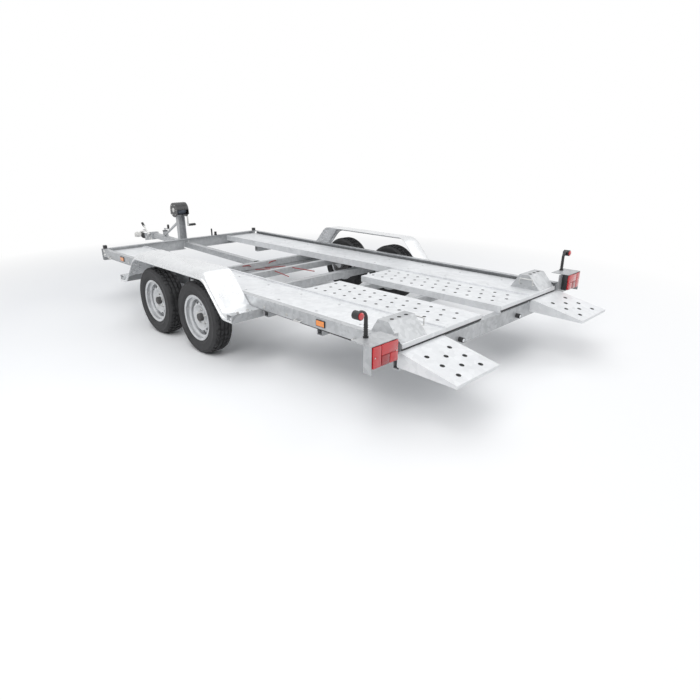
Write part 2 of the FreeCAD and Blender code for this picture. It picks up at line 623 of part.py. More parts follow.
# ---- lamps and small fittings on the bed ----
def lamp_bracket():
    """Plate bracket that holds a tail lamp outside the rail and carries the marker lamp."""
    back = LAMP_FACE_X + LAMP_DEPTH
    outer = LAMP_INNER_Y + LAMP_WIDTH + BRACKET_SHEET
    top = BRACKET_TOP
    front = ARM_BASE_X + 2 * ARM_RADIUS
    shapes = [
        box(back, back + BRACKET_SHEET, HALF_WIDTH, outer, top - BRACKET_DROP, top),
        box(LAMP_FACE_X, front, LAMP_INNER_Y - BRACKET_SHEET, outer, LAMP_TOP, top),
        box(LAMP_FACE_X, back + BRACKET_SHEET, outer - BRACKET_SHEET, outer, top - BRACKET_DROP, top),
        box(back, front, HALF_WIDTH, HALF_WIDTH + BRACKET_SHEET, RAIL_BOTTOM, RAIL_TOP),
    ]
    return joined(shapes)


def tail_lamp():
    """Rectangular lamp with softened front edges."""
    body = box(LAMP_FACE_X - 6, LAMP_FACE_X + LAMP_DEPTH, LAMP_INNER_Y, LAMP_INNER_Y + LAMP_WIDTH,
               LAMP_TOP - LAMP_HEIGHT, LAMP_TOP)
    front = [edge for edge in body.Edges if edge.BoundBox.XMax < LAMP_FACE_X]
    return body.makeFillet(5, front)


def marker_lamp():
    """Rubber arm, upright and then turned outwards, with a round lamp on its end."""
    base = V(ARM_BASE_X, ARM_BASE_Y, BRACKET_TOP)
    bend_z = HEAD_Z - ARM_TURN + HEAD_RADIUS
    knee = V(ARM_BASE_X, ARM_BASE_Y, bend_z)
    turn_middle = V(ARM_BASE_X, ARM_BASE_Y + ARM_TURN * (1 - math.sqrt(0.5)),
                    bend_z + ARM_TURN * math.sqrt(0.5))
    turn_end = V(ARM_BASE_X, ARM_BASE_Y + ARM_TURN, bend_z + ARM_TURN)
    path = Part.Wire([Part.makeLine(base, knee), Part.Arc(knee, turn_middle, turn_end).toShape()])
    section = Part.Wire([Part.makeCircle(ARM_RADIUS, base, V(0, 0, 1))])
    arm = path.makePipeShell([section], True, False)
    head = rod(V(ARM_BASE_X - 24, HEAD_Y, HEAD_Z + HEAD_RADIUS / 2),
               V(ARM_BASE_X + 24, HEAD_Y, HEAD_Z + HEAD_RADIUS / 2), HEAD_RADIUS)
    foot = Part.makeCylinder(ARM_RADIUS + 5, 8, base)
    return joined([arm, head, foot])


def reflectors():
    """The two side reflectors on one rail."""
    shapes = []
    middle = (RAIL_TOP + RAIL_BOTTOM) / 2
    for x in REFLECTOR_XS:
        shapes.append(box(x - REFLECTOR_LENGTH / 2, x + REFLECTOR_LENGTH / 2, HALF_WIDTH,
                          HALF_WIDTH + REFLECTOR_DEPTH, middle - REFLECTOR_HEIGHT / 2,
                          middle + REFLECTOR_HEIGHT / 2))
    return Part.makeCompound(shapes)


def plate_lamps():
    """Two round lamps on the rear beam, beside the place of the number plate."""
    shapes = []
    for y in (-PLATE_LAMP_Y, PLATE_LAMP_Y):
        shapes.append(rod(V(DECK_REAR, y, PLATE_LAMP_Z), V(DECK_REAR - PLATE_LAMP_LENGTH, y, PLATE_LAMP_Z),
                          PLATE_LAMP_RADIUS))
    return Part.makeCompound(shapes)


def front_markers():
    """Small lamps on the two front corners of the bed."""
    shapes = []
    for side in (-1, 1):
        y = side * (HALF_WIDTH - FRONT_MARKER)
        x = DECK_FRONT + FRONT_BEAM_DEPTH / 2
        shapes.append(box(x - FRONT_MARKER / 2, x + FRONT_MARKER / 2, y - FRONT_MARKER / 2,
                          y + FRONT_MARKER / 2, RAIL_TOP, RAIL_TOP + FRONT_MARKER))
    return Part.makeCompound(shapes)


def front_posts():
    """Two short posts on the front beam: a tall one, and a low one with a foot."""
    x = DECK_FRONT + FRONT_BEAM_DEPTH / 2
    tall = Part.makeCylinder(9, POST_HEIGHT, V(x, POST_Y, RAIL_TOP))
    low = Part.makeCylinder(15, POST_HEIGHT / 2, V(x, POST_Y - POST_GAP, RAIL_TOP))
    foot = Part.makeCylinder(19, 6, V(x, POST_Y - POST_GAP, RAIL_TOP))
    return Part.makeCompound([tall, joined([low, foot])])


def tilt_bracket():
    """Two ears on the pivot cross-member, with the pivot pin pressed through them."""
    inner = DRAWBAR_SIZE / 2 + PIVOT_SIDE_GAP
    outer = inner + PIVOT_EAR
    face = PIVOT_MEMBER_X + MEMBER_WIDTH / 2
    shapes = []
    for side in (-1, 1):
        ys = sorted((side * inner, side * outer))
        plate = box(face, PIVOT_X, ys[0], ys[1], PIVOT_Z - PIVOT_EAR_RADIUS, PIVOT_Z + PIVOT_EAR_RADIUS)
        shapes.append(plate)
        shapes.append(rod(V(PIVOT_X, ys[0], PIVOT_Z), V(PIVOT_X, ys[1], PIVOT_Z), PIVOT_EAR_RADIUS))
    shapes.append(rod(V(PIVOT_X, -outer - 8, PIVOT_Z), V(PIVOT_X, outer + 8, PIVOT_Z), PIVOT_PIN_RADIUS))
    return joined(shapes)


# ---- drawbar and what it carries ----
def bar_outline(x1, x2, inset):
    """Side outline of the drawbar between x1 and x2."""
    return [(x1, drawbar_top(x1) - inset), (x2, drawbar_top(x2) - inset),
            (x2, drawbar_top(x2) - DRAWBAR_SIZE + inset), (x1, drawbar_top(x1) - DRAWBAR_SIZE + inset)]


def drawbar():
    """Square tube, bored and sleeved for the pivot pin."""
    half = DRAWBAR_SIZE / 2
    tube = prism_xz(bar_outline(DRAWBAR_REAR, DRAWBAR_FRONT, 0), -half, half)
    hollow = prism_xz(bar_outline(DRAWBAR_REAR - 1, DRAWBAR_FRONT + 1, DRAWBAR_WALL),
                      DRAWBAR_WALL - half, half - DRAWBAR_WALL)
    sleeve = rod(V(PIVOT_X, -half + 1, PIVOT_Z), V(PIVOT_X, half - 1, PIVOT_Z), PIVOT_PIN_RADIUS + 5)
    bore = rod(V(PIVOT_X, -half - 1, PIVOT_Z), V(PIVOT_X, half + 1, PIVOT_Z),
               PIVOT_PIN_RADIUS + RUNNING_CLEARANCE)
    return joined([tube.cut(hollow), sleeve]).cut(bore)


def drawbar_cap():
    """Plastic plug in the rear end of the drawbar."""
    half = DRAWBAR_SIZE / 2
    head = prism_xz(bar_outline(DRAWBAR_REAR - CAP_LENGTH, DRAWBAR_REAR, 2), 2 - half, half - 2)
    return head


def coupling_housing():
    """Cast overrun housing on the front end of the drawbar."""
    top = drawbar_top(DRAWBAR_FRONT) + 12
    half = HOUSING_WIDTH / 2
    low = top - HOUSING_HEIGHT
    nose_top = COUPLING_AXIS_Z + GAITER_RADIUS + 8
    nose_low = COUPLING_AXIS_Z - GAITER_RADIUS - 8
    outline = [(DRAWBAR_FRONT, low), (DRAWBAR_FRONT, top), (DRAWBAR_FRONT + 60, top),
               (HOUSING_FRONT, nose_top), (HOUSING_FRONT, nose_low), (DRAWBAR_FRONT + 60, low)]
    return prism_xz(outline, -half, half)


def coupling_gaiter():
    """Rubber bellows between the housing and the coupling head."""
    return rod(V(HOUSING_FRONT, 0, COUPLING_AXIS_Z), V(GAITER_FRONT, 0, COUPLING_AXIS_Z), GAITER_RADIUS)


def coupling_head():
    """Tubular neck and ball cup, with the socket open downwards."""
    axis = COUPLING_AXIS_Z
    cup = BALL_RADIUS + CUP_WALL
    centre = V(BALL_X, 0, axis - 8)
    shapes = [
        rod(V(GAITER_FRONT, 0, axis), V(BALL_X - BALL_RADIUS - 2, 0, axis), COUPLING_TUBE_RADIUS),
        Part.makeCylinder(cup, SOCKET_DEPTH, centre - V(0, 0, SOCKET_DEPTH)),
        Part.makeSphere(cup, centre, V(0, 0, 1), 0, 90, 360),
        box(BALL_X, NOSE_X, -18, 18, axis - 8 - SOCKET_DEPTH, axis - 8),
        coupling_handle(),
    ]
    radius = BALL_RADIUS + BALL_CLEARANCE
    socket = Part.makeCylinder(radius, SOCKET_DEPTH + 1, centre - V(0, 0, SOCKET_DEPTH + 1))
    return joined(shapes).cut(socket)


def coupling_handle():
    """Lever that lies back over the coupling head."""
    low = COUPLING_AXIS_Z + COUPLING_TUBE_RADIUS - 6
    rear = GAITER_FRONT + 12
    front = rear + 60
    outline = [(front, low), (front, low + 18), (rear + 20, low + 36),
               (front - HANDLE_LENGTH, low + 58), (front - HANDLE_LENGTH, low + 46),
               (rear + 12, low + 22), (rear + 12, low)]
    return prism_xz(outline, -HANDLE_WIDTH / 2, HANDLE_WIDTH / 2)


def handbrake():
    """Lever on the left side of the housing, leaning forward, with a thick grip."""
    pivot = V(BRAKE_PIVOT_X, HOUSING_WIDTH / 2, drawbar_top(BRAKE_PIVOT_X) - 14)
    lean = math.radians(BRAKE_LEAN)
    way = V(math.cos(lean), 0, math.sin(lean))
    start = V(pivot.x, BRAKE_Y, pivot.z)
    end = start + way * BRAKE_LENGTH
    boss = rod(pivot, V(pivot.x, BRAKE_Y + BRAKE_RADIUS + 4, pivot.z), 18)
    return joined([boss, rod(start, end, BRAKE_RADIUS), rod(end - way * 45, end + way * 20, BRAKE_RADIUS + 5)])


def winch_post():
    """Upright channel on the drawbar with a brace that runs forward."""
    rear = POST_X - POST_DEPTH / 2
    front = POST_X + POST_DEPTH / 2
    half = POST_WIDTH / 2
    foot = drawbar_top(rear)
    outer = prism_xz([(rear, foot), (front, drawbar_top(front)), (front, POST_TOP), (rear, POST_TOP)],
                     -half, half)
    hollow = box(rear - 1, front - POST_WALL, POST_WALL - half, half - POST_WALL, foot + 8, POST_TOP + 1)
    width = BRACE_SIZE / 2
    brace = prism_xz([(front - 2, BRACE_TOP_Z), (front - 2, BRACE_TOP_Z - 1.4 * BRACE_SIZE),
                      (BRACE_FOOT_X - 1.4 * BRACE_SIZE, drawbar_top(BRACE_FOOT_X - 1.4 * BRACE_SIZE)),
                      (BRACE_FOOT_X, drawbar_top(BRACE_FOOT_X))], -width, width)
    return joined([outer.cut(hollow), brace])


def winch():
    """Hand winch: two side cheeks, the drum between them and a rounded cover."""
    half = WINCH_WIDTH / 2
    shapes = []
    for side in (-1, 1):
        ys = sorted((side * half, side * (half - WINCH_SHEET)))
        shapes.append(rod(V(POST_X, ys[0], WINCH_AXIS_Z), V(POST_X, ys[1], WINCH_AXIS_Z), WINCH_RADIUS))
        shapes.append(box(POST_X - WINCH_RADIUS, POST_X + WINCH_RADIUS, ys[0], ys[1],
                          POST_TOP, WINCH_AXIS_Z))
    shapes.append(rod(V(POST_X, -half, WINCH_AXIS_Z), V(POST_X, half, WINCH_AXIS_Z), DRUM_CORE))
    shapes.append(box(POST_X - WINCH_RADIUS, POST_X + WINCH_RADIUS, -half, half,
                      POST_TOP, POST_TOP + WINCH_SHEET))
    cover = rod(V(POST_X, -half, WINCH_AXIS_Z), V(POST_X, half, WINCH_AXIS_Z), WINCH_RADIUS)
    hollow = rod(V(POST_X, -half - 1, WINCH_AXIS_Z), V(POST_X, half + 1, WINCH_AXIS_Z),
                 WINCH_RADIUS - WINCH_SHEET)
    low = box(POST_X - 2 * WINCH_RADIUS, POST_X + 2 * WINCH_RADIUS, -WINCH_WIDTH, WINCH_WIDTH,
              WINCH_AXIS_Z - 2 * WINCH_RADIUS, WINCH_AXIS_Z)
    shapes.append(cover.cut([hollow, low]))
    return joined(shapes)


def winch_crank():
    """Flat crank arm hanging from the winch shaft, with its grip."""
    inner = -WINCH_WIDTH / 2 - 14
    outer = inner - CRANK_SHEET
    low = WINCH_AXIS_Z - CRANK_LENGTH
    shapes = [
        rod(V(POST_X, -WINCH_WIDTH / 2, WINCH_AXIS_Z), V(POST_X, outer, WINCH_AXIS_Z), 10),
        box(POST_X - 12, POST_X + 12, outer, inner, low, WINCH_AXIS_Z + 12),
        rod(V(POST_X, inner, low + 12), V(POST_X, outer - CRANK_GRIP, low + 12), CRANK_GRIP_RADIUS),
    ]
    return joined(shapes)


# ---- jockey wheel ----
def jockey_clamp():
    """Split clamp on the right of the drawbar, round the jockey tube."""
    top = drawbar_top(JOCKEY_X) - 8
    low = top - 42
    ring = Part.makeCylinder(JOCKEY_TUBE_RADIUS + 8, top - low, V(JOCKEY_X, JOCKEY_Y, low))
    block = box(JOCKEY_X - 32, JOCKEY_X + 32, JOCKEY_Y, -DRAWBAR_SIZE / 2, low, top)
    screw = rod(V(JOCKEY_X + 20, JOCKEY_Y - 10, (top + low) / 2),
                V(JOCKEY_X + 80, JOCKEY_Y - 10, (top + low) / 2), 7)
    bore = Part.makeCylinder(JOCKEY_TUBE_RADIUS, top - low + 2, V(JOCKEY_X, JOCKEY_Y, low - 1))
    return joined([ring, block, screw]).cut(bore)


def jockey_tube():
    """Outer tube, leg and crank, with the swivel bore in the leg's lower end."""
    def at(z):
        return V(JOCKEY_X, JOCKEY_Y, z)

    elbow = JOCKEY_TUBE_TOP + 26
    shapes = [
        rod(at(JOCKEY_TUBE_BOTTOM), at(JOCKEY_TUBE_TOP), JOCKEY_TUBE_RADIUS),
        rod(at(JOCKEY_LEG_BOTTOM), at(JOCKEY_TUBE_BOTTOM + 1), JOCKEY_LEG_RADIUS),
        rod(at(JOCKEY_TUBE_TOP - 1), at(elbow), 9),
        box(JOCKEY_X - JOCKEY_CRANK, JOCKEY_X + 9, JOCKEY_Y - 9, JOCKEY_Y + 9, elbow - 8, elbow),
        rod(V(JOCKEY_X - JOCKEY_CRANK + 12, JOCKEY_Y, elbow - 1),
            V(JOCKEY_X - JOCKEY_CRANK + 12, JOCKEY_Y, elbow + 54), 13),
    ]
    bore = rod(at(JOCKEY_LEG_BOTTOM - 1), at(JOCKEY_LEG_BOTTOM + JOCKEY_SWIVEL_DEPTH + 4),
               JOCKEY_SWIVEL_RADIUS + RUNNING_CLEARANCE)
    return joined(shapes).cut(bore)


def jockey_fork():
    """Fork with its swivel pin on top and the wheel's axle pin through its legs."""
    crown = JOCKEY_LEG_BOTTOM - JOCKEY_SWIVEL_GAP
    half = JOCKEY_WHEEL_WIDTH / 2 + SIDE_CLEARANCE
    wheel_x = JOCKEY_X - JOCKEY_TRAIL
    wheel_z = JOCKEY_WHEEL_RADIUS
    sheet = JOCKEY_FORK_SHEET
    low = crown - sheet
    shapes = [
        box(JOCKEY_X - JOCKEY_TRAIL, JOCKEY_X + 30, JOCKEY_Y - half - sheet, JOCKEY_Y + half + sheet,
            low, crown),
        Part.makeCylinder(JOCKEY_SWIVEL_RADIUS, JOCKEY_SWIVEL_DEPTH + sheet, V(JOCKEY_X, JOCKEY_Y, low)),
        rod(V(wheel_x, JOCKEY_Y - half - sheet - 6, wheel_z),
            V(wheel_x, JOCKEY_Y + half + sheet + 6, wheel_z), JOCKEY_PIN_RADIUS),
    ]
    for side in (-1, 1):
        ys = sorted((JOCKEY_Y + side * half, JOCKEY_Y + side * (half + sheet)))
        outline = [(wheel_x - 16, wheel_z - 16), (wheel_x + 16, wheel_z - 16), (JOCKEY_X + 30, crown),
                   (JOCKEY_X - JOCKEY_TRAIL, crown)]
        shapes.append(prism_xz(outline, ys[0], ys[1]))
    return joined(shapes)


def jockey_wheel():
    """Solid-rubber wheel with a raised hub, bored for its pin."""
    half = JOCKEY_WHEEL_WIDTH / 2
    radius = JOCKEY_WHEEL_RADIUS
    bore = JOCKEY_PIN_RADIUS + RUNNING_CLEARANCE
    outline = [(-half, bore), (-half, 26), (-14, 30), (-14, 62), (-half + 4, 68), (-half, 74),
               (-half, radius - 12), (-half + 12, radius), (half - 12, radius), (half, radius - 12),
               (half, 74), (half - 4, 68), (14, 62), (14, 30), (half, 26), (half, bore)]
    return turned([(JOCKEY_Y + y, r) for y, r in outline], JOCKEY_X - JOCKEY_TRAIL, radius)


def main():
    os.makedirs("parts", exist_ok=True)
    write_pair("side_rail", side_rail())
    write("front_beam", front_beam())
    write("rear_beam", rear_beam())
    write("cross_member_pivot", cross_member(PIVOT_MEMBER_X))
    write("cross_member_middle", cross_member(MIDDLE_MEMBER_X))
    for number, x in enumerate(REAR_MEMBER_XS, 1):
        write("cross_member_rear_%d" % number, cross_member(x))
    write_pair("track_bearer", track_bearer())
    write_pair("track_outer", outer_track())
    write_pair("track_inner", inner_track())
    write_pair("ramp", ramp())
    write_pair("ramp_guard", ramp_guard())
    write_pair("fender", fender())
    write_pair("fender_stays", fender_stays())
    for name, x in AXLE_XS.items():
        write("axle_" + name, axle(x))
        write_pair("tyre_" + name, tyre(x))
        write_pair("rim_" + name, rim(x))
    write_pair("lamp_bracket", lamp_bracket())
    write_pair("tail_lamp", tail_lamp())
    write_pair("marker_lamp", marker_lamp())
    write_pair("side_reflectors", reflectors())
    write("plate_lamps", plate_lamps())
    write("front_markers", front_markers())
    write("front_posts", front_posts())
    write("tilt_bracket", tilt_bracket())
    write("drawbar", drawbar())
    write("drawbar_cap", drawbar_cap())
    write("coupling_housing", coupling_housing())
    write("coupling_gaiter", coupling_gaiter())
    write("coupling_head", coupling_head())
    write("handbrake_lever", handbrake())
    write("winch_post", winch_post())
    write("winch", winch())
    write("winch_crank", winch_crank())
    write("jockey_clamp", jockey_clamp())
    write("jockey_tube", jockey_tube())
    write("jockey_fork", jockey_fork())
    write("jockey_wheel", jockey_wheel())


main()
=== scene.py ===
"""Looks of the car trailer, as a Blender add-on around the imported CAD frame. Units are metres."""
import math

import bpy
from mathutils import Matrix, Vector


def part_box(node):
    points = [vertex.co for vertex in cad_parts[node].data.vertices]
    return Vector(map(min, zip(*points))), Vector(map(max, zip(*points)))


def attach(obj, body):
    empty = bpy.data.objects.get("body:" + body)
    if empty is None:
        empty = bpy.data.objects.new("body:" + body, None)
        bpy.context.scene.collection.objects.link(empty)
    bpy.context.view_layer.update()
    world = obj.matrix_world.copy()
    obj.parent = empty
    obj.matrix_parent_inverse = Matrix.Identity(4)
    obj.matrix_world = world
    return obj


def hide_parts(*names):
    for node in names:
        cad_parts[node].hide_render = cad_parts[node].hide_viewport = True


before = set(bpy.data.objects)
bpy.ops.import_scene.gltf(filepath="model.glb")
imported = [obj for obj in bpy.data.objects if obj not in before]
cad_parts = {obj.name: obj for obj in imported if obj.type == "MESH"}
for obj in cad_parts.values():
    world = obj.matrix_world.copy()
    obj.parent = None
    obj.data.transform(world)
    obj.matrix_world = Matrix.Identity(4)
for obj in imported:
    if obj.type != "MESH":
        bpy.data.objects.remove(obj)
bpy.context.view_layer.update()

bl_info = {
    "name": "Car trailer",
    "version": (1, 0, 0),
    "blender": (4, 5, 0),
    "location": "View3D > Sidebar > Trailer",
    "description": "Models the visible detail of a twin-axle car transporter trailer",
    "category": "Object",
}

# ---- places taken from the CAD, in metres ----
WHEELS = {
    "front_left": (-0.035, 1), "front_right": (-0.035, -1),
    "rear_left": (-0.735, 1), "rear_right": (-0.735, -1),
}
WHEEL_Y = 1.144
WHEEL_Z = 0.29
FENDER_MIDDLE_X = -0.385
RAIL_FACE = 1.010
TRACK_TOP = 0.490
SIDES = {"left": 1, "right": -1}
WINCH_X = 1.675
WINCH_Z = 0.852
WINCH_COVER_RADIUS = 0.084
JOCKEY_X = 2.265
JOCKEY_Y = -0.074
REFLECTOR_XS = (-1.970, 1.055)
REFLECTOR_Z = 0.48
MARKER_Y = 1.262
MARKER_Z = 0.714
MARKER_PROFILE = [(0.020, 0.0), (0.020, 0.004), (0.017, 0.0075), (0.010, 0.0095), (0.001, 0.010)]
HOLE_PITCH = 0.054
HOLE_OFFSET = 0.110
CAMERA_PLACE = (-4.3774, 3.1548, 1.5242)
CAMERA_YAW = -45.0376
CAMERA_PITCH = -20.8612
CAMERA_LENS = 27.01


# ---- shader building ----
class Channel:
    """A socket that can be combined with others by ordinary arithmetic."""

    def __init__(self, graph, socket):
        self.graph = graph
        self.socket = socket

    def _math(self, operation, other, swap=False):
        first, second = (other, self) if swap else (self, other)
        return self.graph.maths(operation, first, second)

    def __add__(self, other):
        return self._math("ADD", other)

    def __sub__(self, other):
        return self._math("SUBTRACT", other)

    def __rsub__(self, other):
        return self._math("SUBTRACT", other, True)

    def __mul__(self, other):
        return self._math("MULTIPLY", other)

    __radd__ = __add__
    __rmul__ = __mul__


class Graph:
    """One material's node tree."""

    def __init__(self, name):
        self.material = bpy.data.materials.new(name)
        self.material.use_nodes = True
        self.tree = self.material.node_tree
        self.tree.nodes.clear()
        self.output = self.tree.nodes.new("ShaderNodeOutputMaterial")

    def feed(self, socket, value):
        if isinstance(value, Channel):
            self.tree.links.new(value.socket, socket)
        else:
            socket.default_value = value

    def node(self, kind, output=0, settings=None, **inputs):
        """Any node, its inputs named with underscores for spaces."""
        made = self.tree.nodes.new("ShaderNode" + kind)
        for key, value in (settings or {}).items():
            setattr(made, key, value)
        for key, value in inputs.items():
            self.feed(made.inputs[key.replace("_", " ")], value)
        return Channel(self, made.outputs[output])

    def maths(self, operation, first, second):
        made = self.tree.nodes.new("ShaderNodeMath")
        made.operation = operation
        self.feed(made.inputs[0], first)
        self.feed(made.inputs[1], second)
        return Channel(self, made.outputs[0])

    def place(self):
        return self.node("TexCoord", "Object")

    def noise(self, scale, detail=5.0, rough=0.6):
        return self.node("TexNoise", "Fac", Vector=self.place(), Scale=scale, Detail=detail,
                         Roughness=rough)

    def cells(self, scale):
        return self.node("TexVoronoi", "Color", Vector=self.place(), Scale=scale)

    def ramp(self, factor, low, high, from_value=0.0, to_value=1.0):
        """Colour that runs from low to high as the factor crosses the given range."""
        made = self.tree.nodes.new("ShaderNodeValToRGB")
        made.color_ramp.elements[0].position = from_value
        made.color_ramp.elements[1].position = to_value
        made.color_ramp.elements[0].color = (*low, 1)
        made.color_ramp.elements[1].color = (*high, 1)
        self.feed(made.inputs[0], factor)
        return Channel(self, made.outputs[0])

    def bump(self, height, strength, distance):
        return self.node("Bump", "Normal", Height=height, Strength=strength, Distance=distance)

    def surface(self, **inputs):
        shader = self.node("BsdfPrincipled", **inputs)
        self.feed_output(shader)
        return self.material

    def feed_output(self, shader):
        self.tree.links.new(shader.socket, self.output.inputs["Surface"])


def galvanised(name, low, high, spangle, roughness, metallic):
    """Zinc with crystal spangle, handling stains and dull patches."""
    g = Graph(name)
    crystal = g.node("SeparateColor", "Red", Color=g.cells(spangle))
    cloud = g.noise(3.2, 6.0, 0.65)
    stain = g.noise(14.0, 7.0, 0.7)
    tone = crystal * 0.18 + cloud * 0.52 + stain * 0.3
    height = g.noise(380.0, 3.0)
    return g.surface(Base_Color=g.ramp(tone, low, high, 0.28, 0.72),
                     Roughness=roughness + stain * 0.22 - crystal * 0.08,
                     Metallic=metallic, Normal=g.bump(height, 0.12, 0.001))


def plain(name, low, high, scale, roughness, metallic=0.0, grain=300.0, strength=0.15, coat=0.0):
    """Finish with gentle colour and gloss variation and a fine grain."""
    g = Graph(name)
    cloud = g.noise(scale, 6.0, 0.65)
    return g.surface(Base_Color=g.ramp(cloud, low, high, 0.3, 0.7),
                     Roughness=roughness + cloud * 0.16, Metallic=metallic, Coat_Weight=coat,
                     Normal=g.bump(g.noise(grain, 3.0), strength, 0.001))


def lens(name, low, high):
    """Moulded lens: fine upright flutes and small prisms under a glossy surface."""
    g = Graph(name)
    flutes = g.node("TexWave", "Fac", {"bands_direction": "Y"}, Vector=g.place(), Scale=55.0)
    prisms = g.node("TexWave", "Fac", {"bands_direction": "Z"}, Vector=g.place(), Scale=55.0)
    height = flutes * 0.6 + prisms * 0.4
    return g.surface(Base_Color=g.ramp(height, low, high), Roughness=0.12, Coat_Weight=1.0,
                     Normal=g.bump(height, 0.35, 0.002))


def make_materials():
    return {
        "galvanised": galvanised("galvanised_steel", (0.36, 0.37, 0.38), (0.56, 0.57, 0.58), 40.0,
                                 0.40, 0.5),
        "deck": galvanised("deck_steel", (0.64, 0.65, 0.66), (0.82, 0.83, 0.84), 24.0, 0.40, 0.35),
        "fender": galvanised("fender_steel", (0.66, 0.67, 0.68), (0.80, 0.81, 0.82), 40.0, 0.24,
                             0.75),
        "wheel": plain("wheel_steel", (0.50, 0.51, 0.52), (0.66, 0.67, 0.68), 9.0, 0.28, 0.55,
                       coat=0.3),
        "zinc": plain("zinc_plate", (0.50, 0.50, 0.49), (0.70, 0.70, 0.69), 20.0, 0.26, 0.9),
        "casting": plain("coated_casting", (0.34, 0.35, 0.36), (0.50, 0.51, 0.52), 14.0, 0.48,
                         0.3, 160.0, 0.5),
        "tyre": plain("tyre", (0.018, 0.018, 0.019), (0.040, 0.040, 0.042), 8.0, 0.62, 0.0, 240.0,
                      0.3),
        "rubber": plain("black_rubber", (0.014, 0.014, 0.014), (0.032, 0.032, 0.033), 18.0, 0.55,
                        0.0, 260.0, 0.3),
        "plastic": plain("black_plastic", (0.014, 0.014, 0.015), (0.028, 0.028, 0.030), 26.0,
                         0.38, 0.0, 420.0, 0.25),
        "black_steel": plain("black_steel", (0.012, 0.012, 0.013), (0.034, 0.034, 0.036), 20.0,
                             0.3, 0.2, 300.0, 0.12, 0.4),
        "hub": plain("hub_steel", (0.05, 0.05, 0.052), (0.12, 0.118, 0.115), 22.0, 0.5, 0.4,
                     180.0, 0.4),
        "red": lens("red_lens", (0.42, 0.008, 0.012), (0.72, 0.02, 0.028)),
        "dark_red": lens("dark_red_lens", (0.22, 0.004, 0.008), (0.44, 0.012, 0.018)),
        "orange": lens("orange_lens", (0.80, 0.19, 0.01), (0.95, 0.34, 0.03)),
        "clear": lens("clear_lens", (0.66, 0.68, 0.70), (0.86, 0.87, 0.88)),
        "label": plain("blank_label", (0.78, 0.78, 0.77), (0.88, 0.88, 0.87), 12.0, 0.4),
        "cable": plain("red_cable", (0.22, 0.015, 0.015), (0.36, 0.03, 0.03), 30.0, 0.45),
        "strap": plain("strap_webbing", (0.10, 0.12, 0.15), (0.20, 0.22, 0.26), 60.0, 0.8, 0.0,
                       500.0, 0.6),
        # Flat near-black finish used as painted shade in the punched holes and the guard recesses
        "dark": plain("painted_hole_shade", (0.008, 0.008, 0.008), (0.014, 0.014, 0.014), 20.0, 0.8),
    }


# ---- modelling helpers ----
def only(obj):
    bpy.ops.object.select_all(action="DESELECT")
    obj.select_set(True)
    bpy.context.view_layer.objects.active = obj


def settle(obj):
    """Place, turn and size go into the mesh, so the object sits at the origin."""
    only(obj)
    bpy.ops.object.transform_apply(location=True, rotation=True, scale=True)
    return obj


def block(x1, x2, y1, y2, z1, z2, bevel=0.0):
    bpy.ops.object.select_all(action="DESELECT")
    bpy.ops.mesh.primitive_cube_add(size=1, location=((x1 + x2) / 2, (y1 + y2) / 2, (z1 + z2) / 2))
    obj = bpy.context.object
    obj.scale = (x2 - x1, y2 - y1, z2 - z1)
    settle(obj)
    if bevel:
        soften(obj, bevel, 2)
    return obj


def rod(start, end, radius, sides=24, bevel=0.0):
    """Round bar from start to end."""
    run = [b - a for a, b in zip(start, end)]
    length = math.sqrt(sum(c * c for c in run))
    bpy.ops.object.select_all(action="DESELECT")
    bpy.ops.mesh.primitive_cylinder_add(
        vertices=sides, radius=radius, depth=length,
        location=[(a + b) / 2 for a, b in zip(start, end)],
        rotation=(0, math.acos(max(-1, min(1, run[2] / length))), math.atan2(run[1], run[0])))
    obj = settle(bpy.context.object)
    if bevel:
        soften(obj, bevel, 2)
    return obj


def ball(centre, radius):
    bpy.ops.object.select_all(action="DESELECT")
    bpy.ops.mesh.primitive_uv_sphere_add(segments=16, ring_count=10, radius=radius, location=centre)
    return settle(bpy.context.object)


def tube_along(points, radius, sides=14):
    """Round bar through the points, with a ball at each bend."""
    parts = [rod(a, b, radius, sides) for a, b in zip(points, points[1:])]
    parts += [ball(p, radius) for p in points[1:-1]]
    return merge(parts)


def soften(obj, width, segments):
    only(obj)
    made = obj.modifiers.new("soften", "BEVEL")
    made.width = width
    made.segments = segments
    made.limit_method = "ANGLE"
    bpy.ops.object.modifier_apply(modifier=made.name)


def cut(obj, tool):
    only(obj)
    made = obj.modifiers.new("cut", "BOOLEAN")
    made.operation = "DIFFERENCE"
    made.solver = "EXACT"
    made.object = tool
    bpy.ops.object.modifier_apply(modifier=made.name)
    bpy.data.objects.remove(tool)


def merge(parts):
    bpy.ops.object.select_all(action="DESELECT")
    for part in parts:
        part.select_set(True)
    bpy.context.view_layer.objects.active = parts[0]
    if len(parts) > 1:
        bpy.ops.object.join()
    return bpy.context.object


def lathe(profile, centre, turn, sides=96, closed=True):
    """Ring of (radius, height) points, extruded one after another, then turned to its axis."""
    radius, height = profile[0]
    bpy.ops.object.select_all(action="DESELECT")
    bpy.ops.mesh.primitive_circle_add(vertices=sides, radius=radius, location=(0, 0, height))
    obj = settle(bpy.context.object)
    bpy.ops.object.mode_set(mode="EDIT")
    bpy.ops.mesh.select_all(action="SELECT")
    points = list(profile[1:]) + ([profile[0]] if closed else [])
    for next_radius, next_height in points:
        bpy.ops.mesh.extrude_region_move(
            TRANSFORM_OT_translate={"value": (0, 0, next_height - height)})
        grow = next_radius / radius
        bpy.ops.transform.resize(value=(grow, grow, 1), center_override=(0, 0, next_height))
        radius, height = next_radius, next_height
    bpy.ops.mesh.select_all(action="SELECT")
    bpy.ops.mesh.remove_doubles(threshold=0.00001)
    bpy.ops.mesh.normals_make_consistent(inside=False)
    bpy.ops.object.mode_set(mode="OBJECT")
    obj.rotation_euler = turn
    obj.location = centre
    return settle(obj)


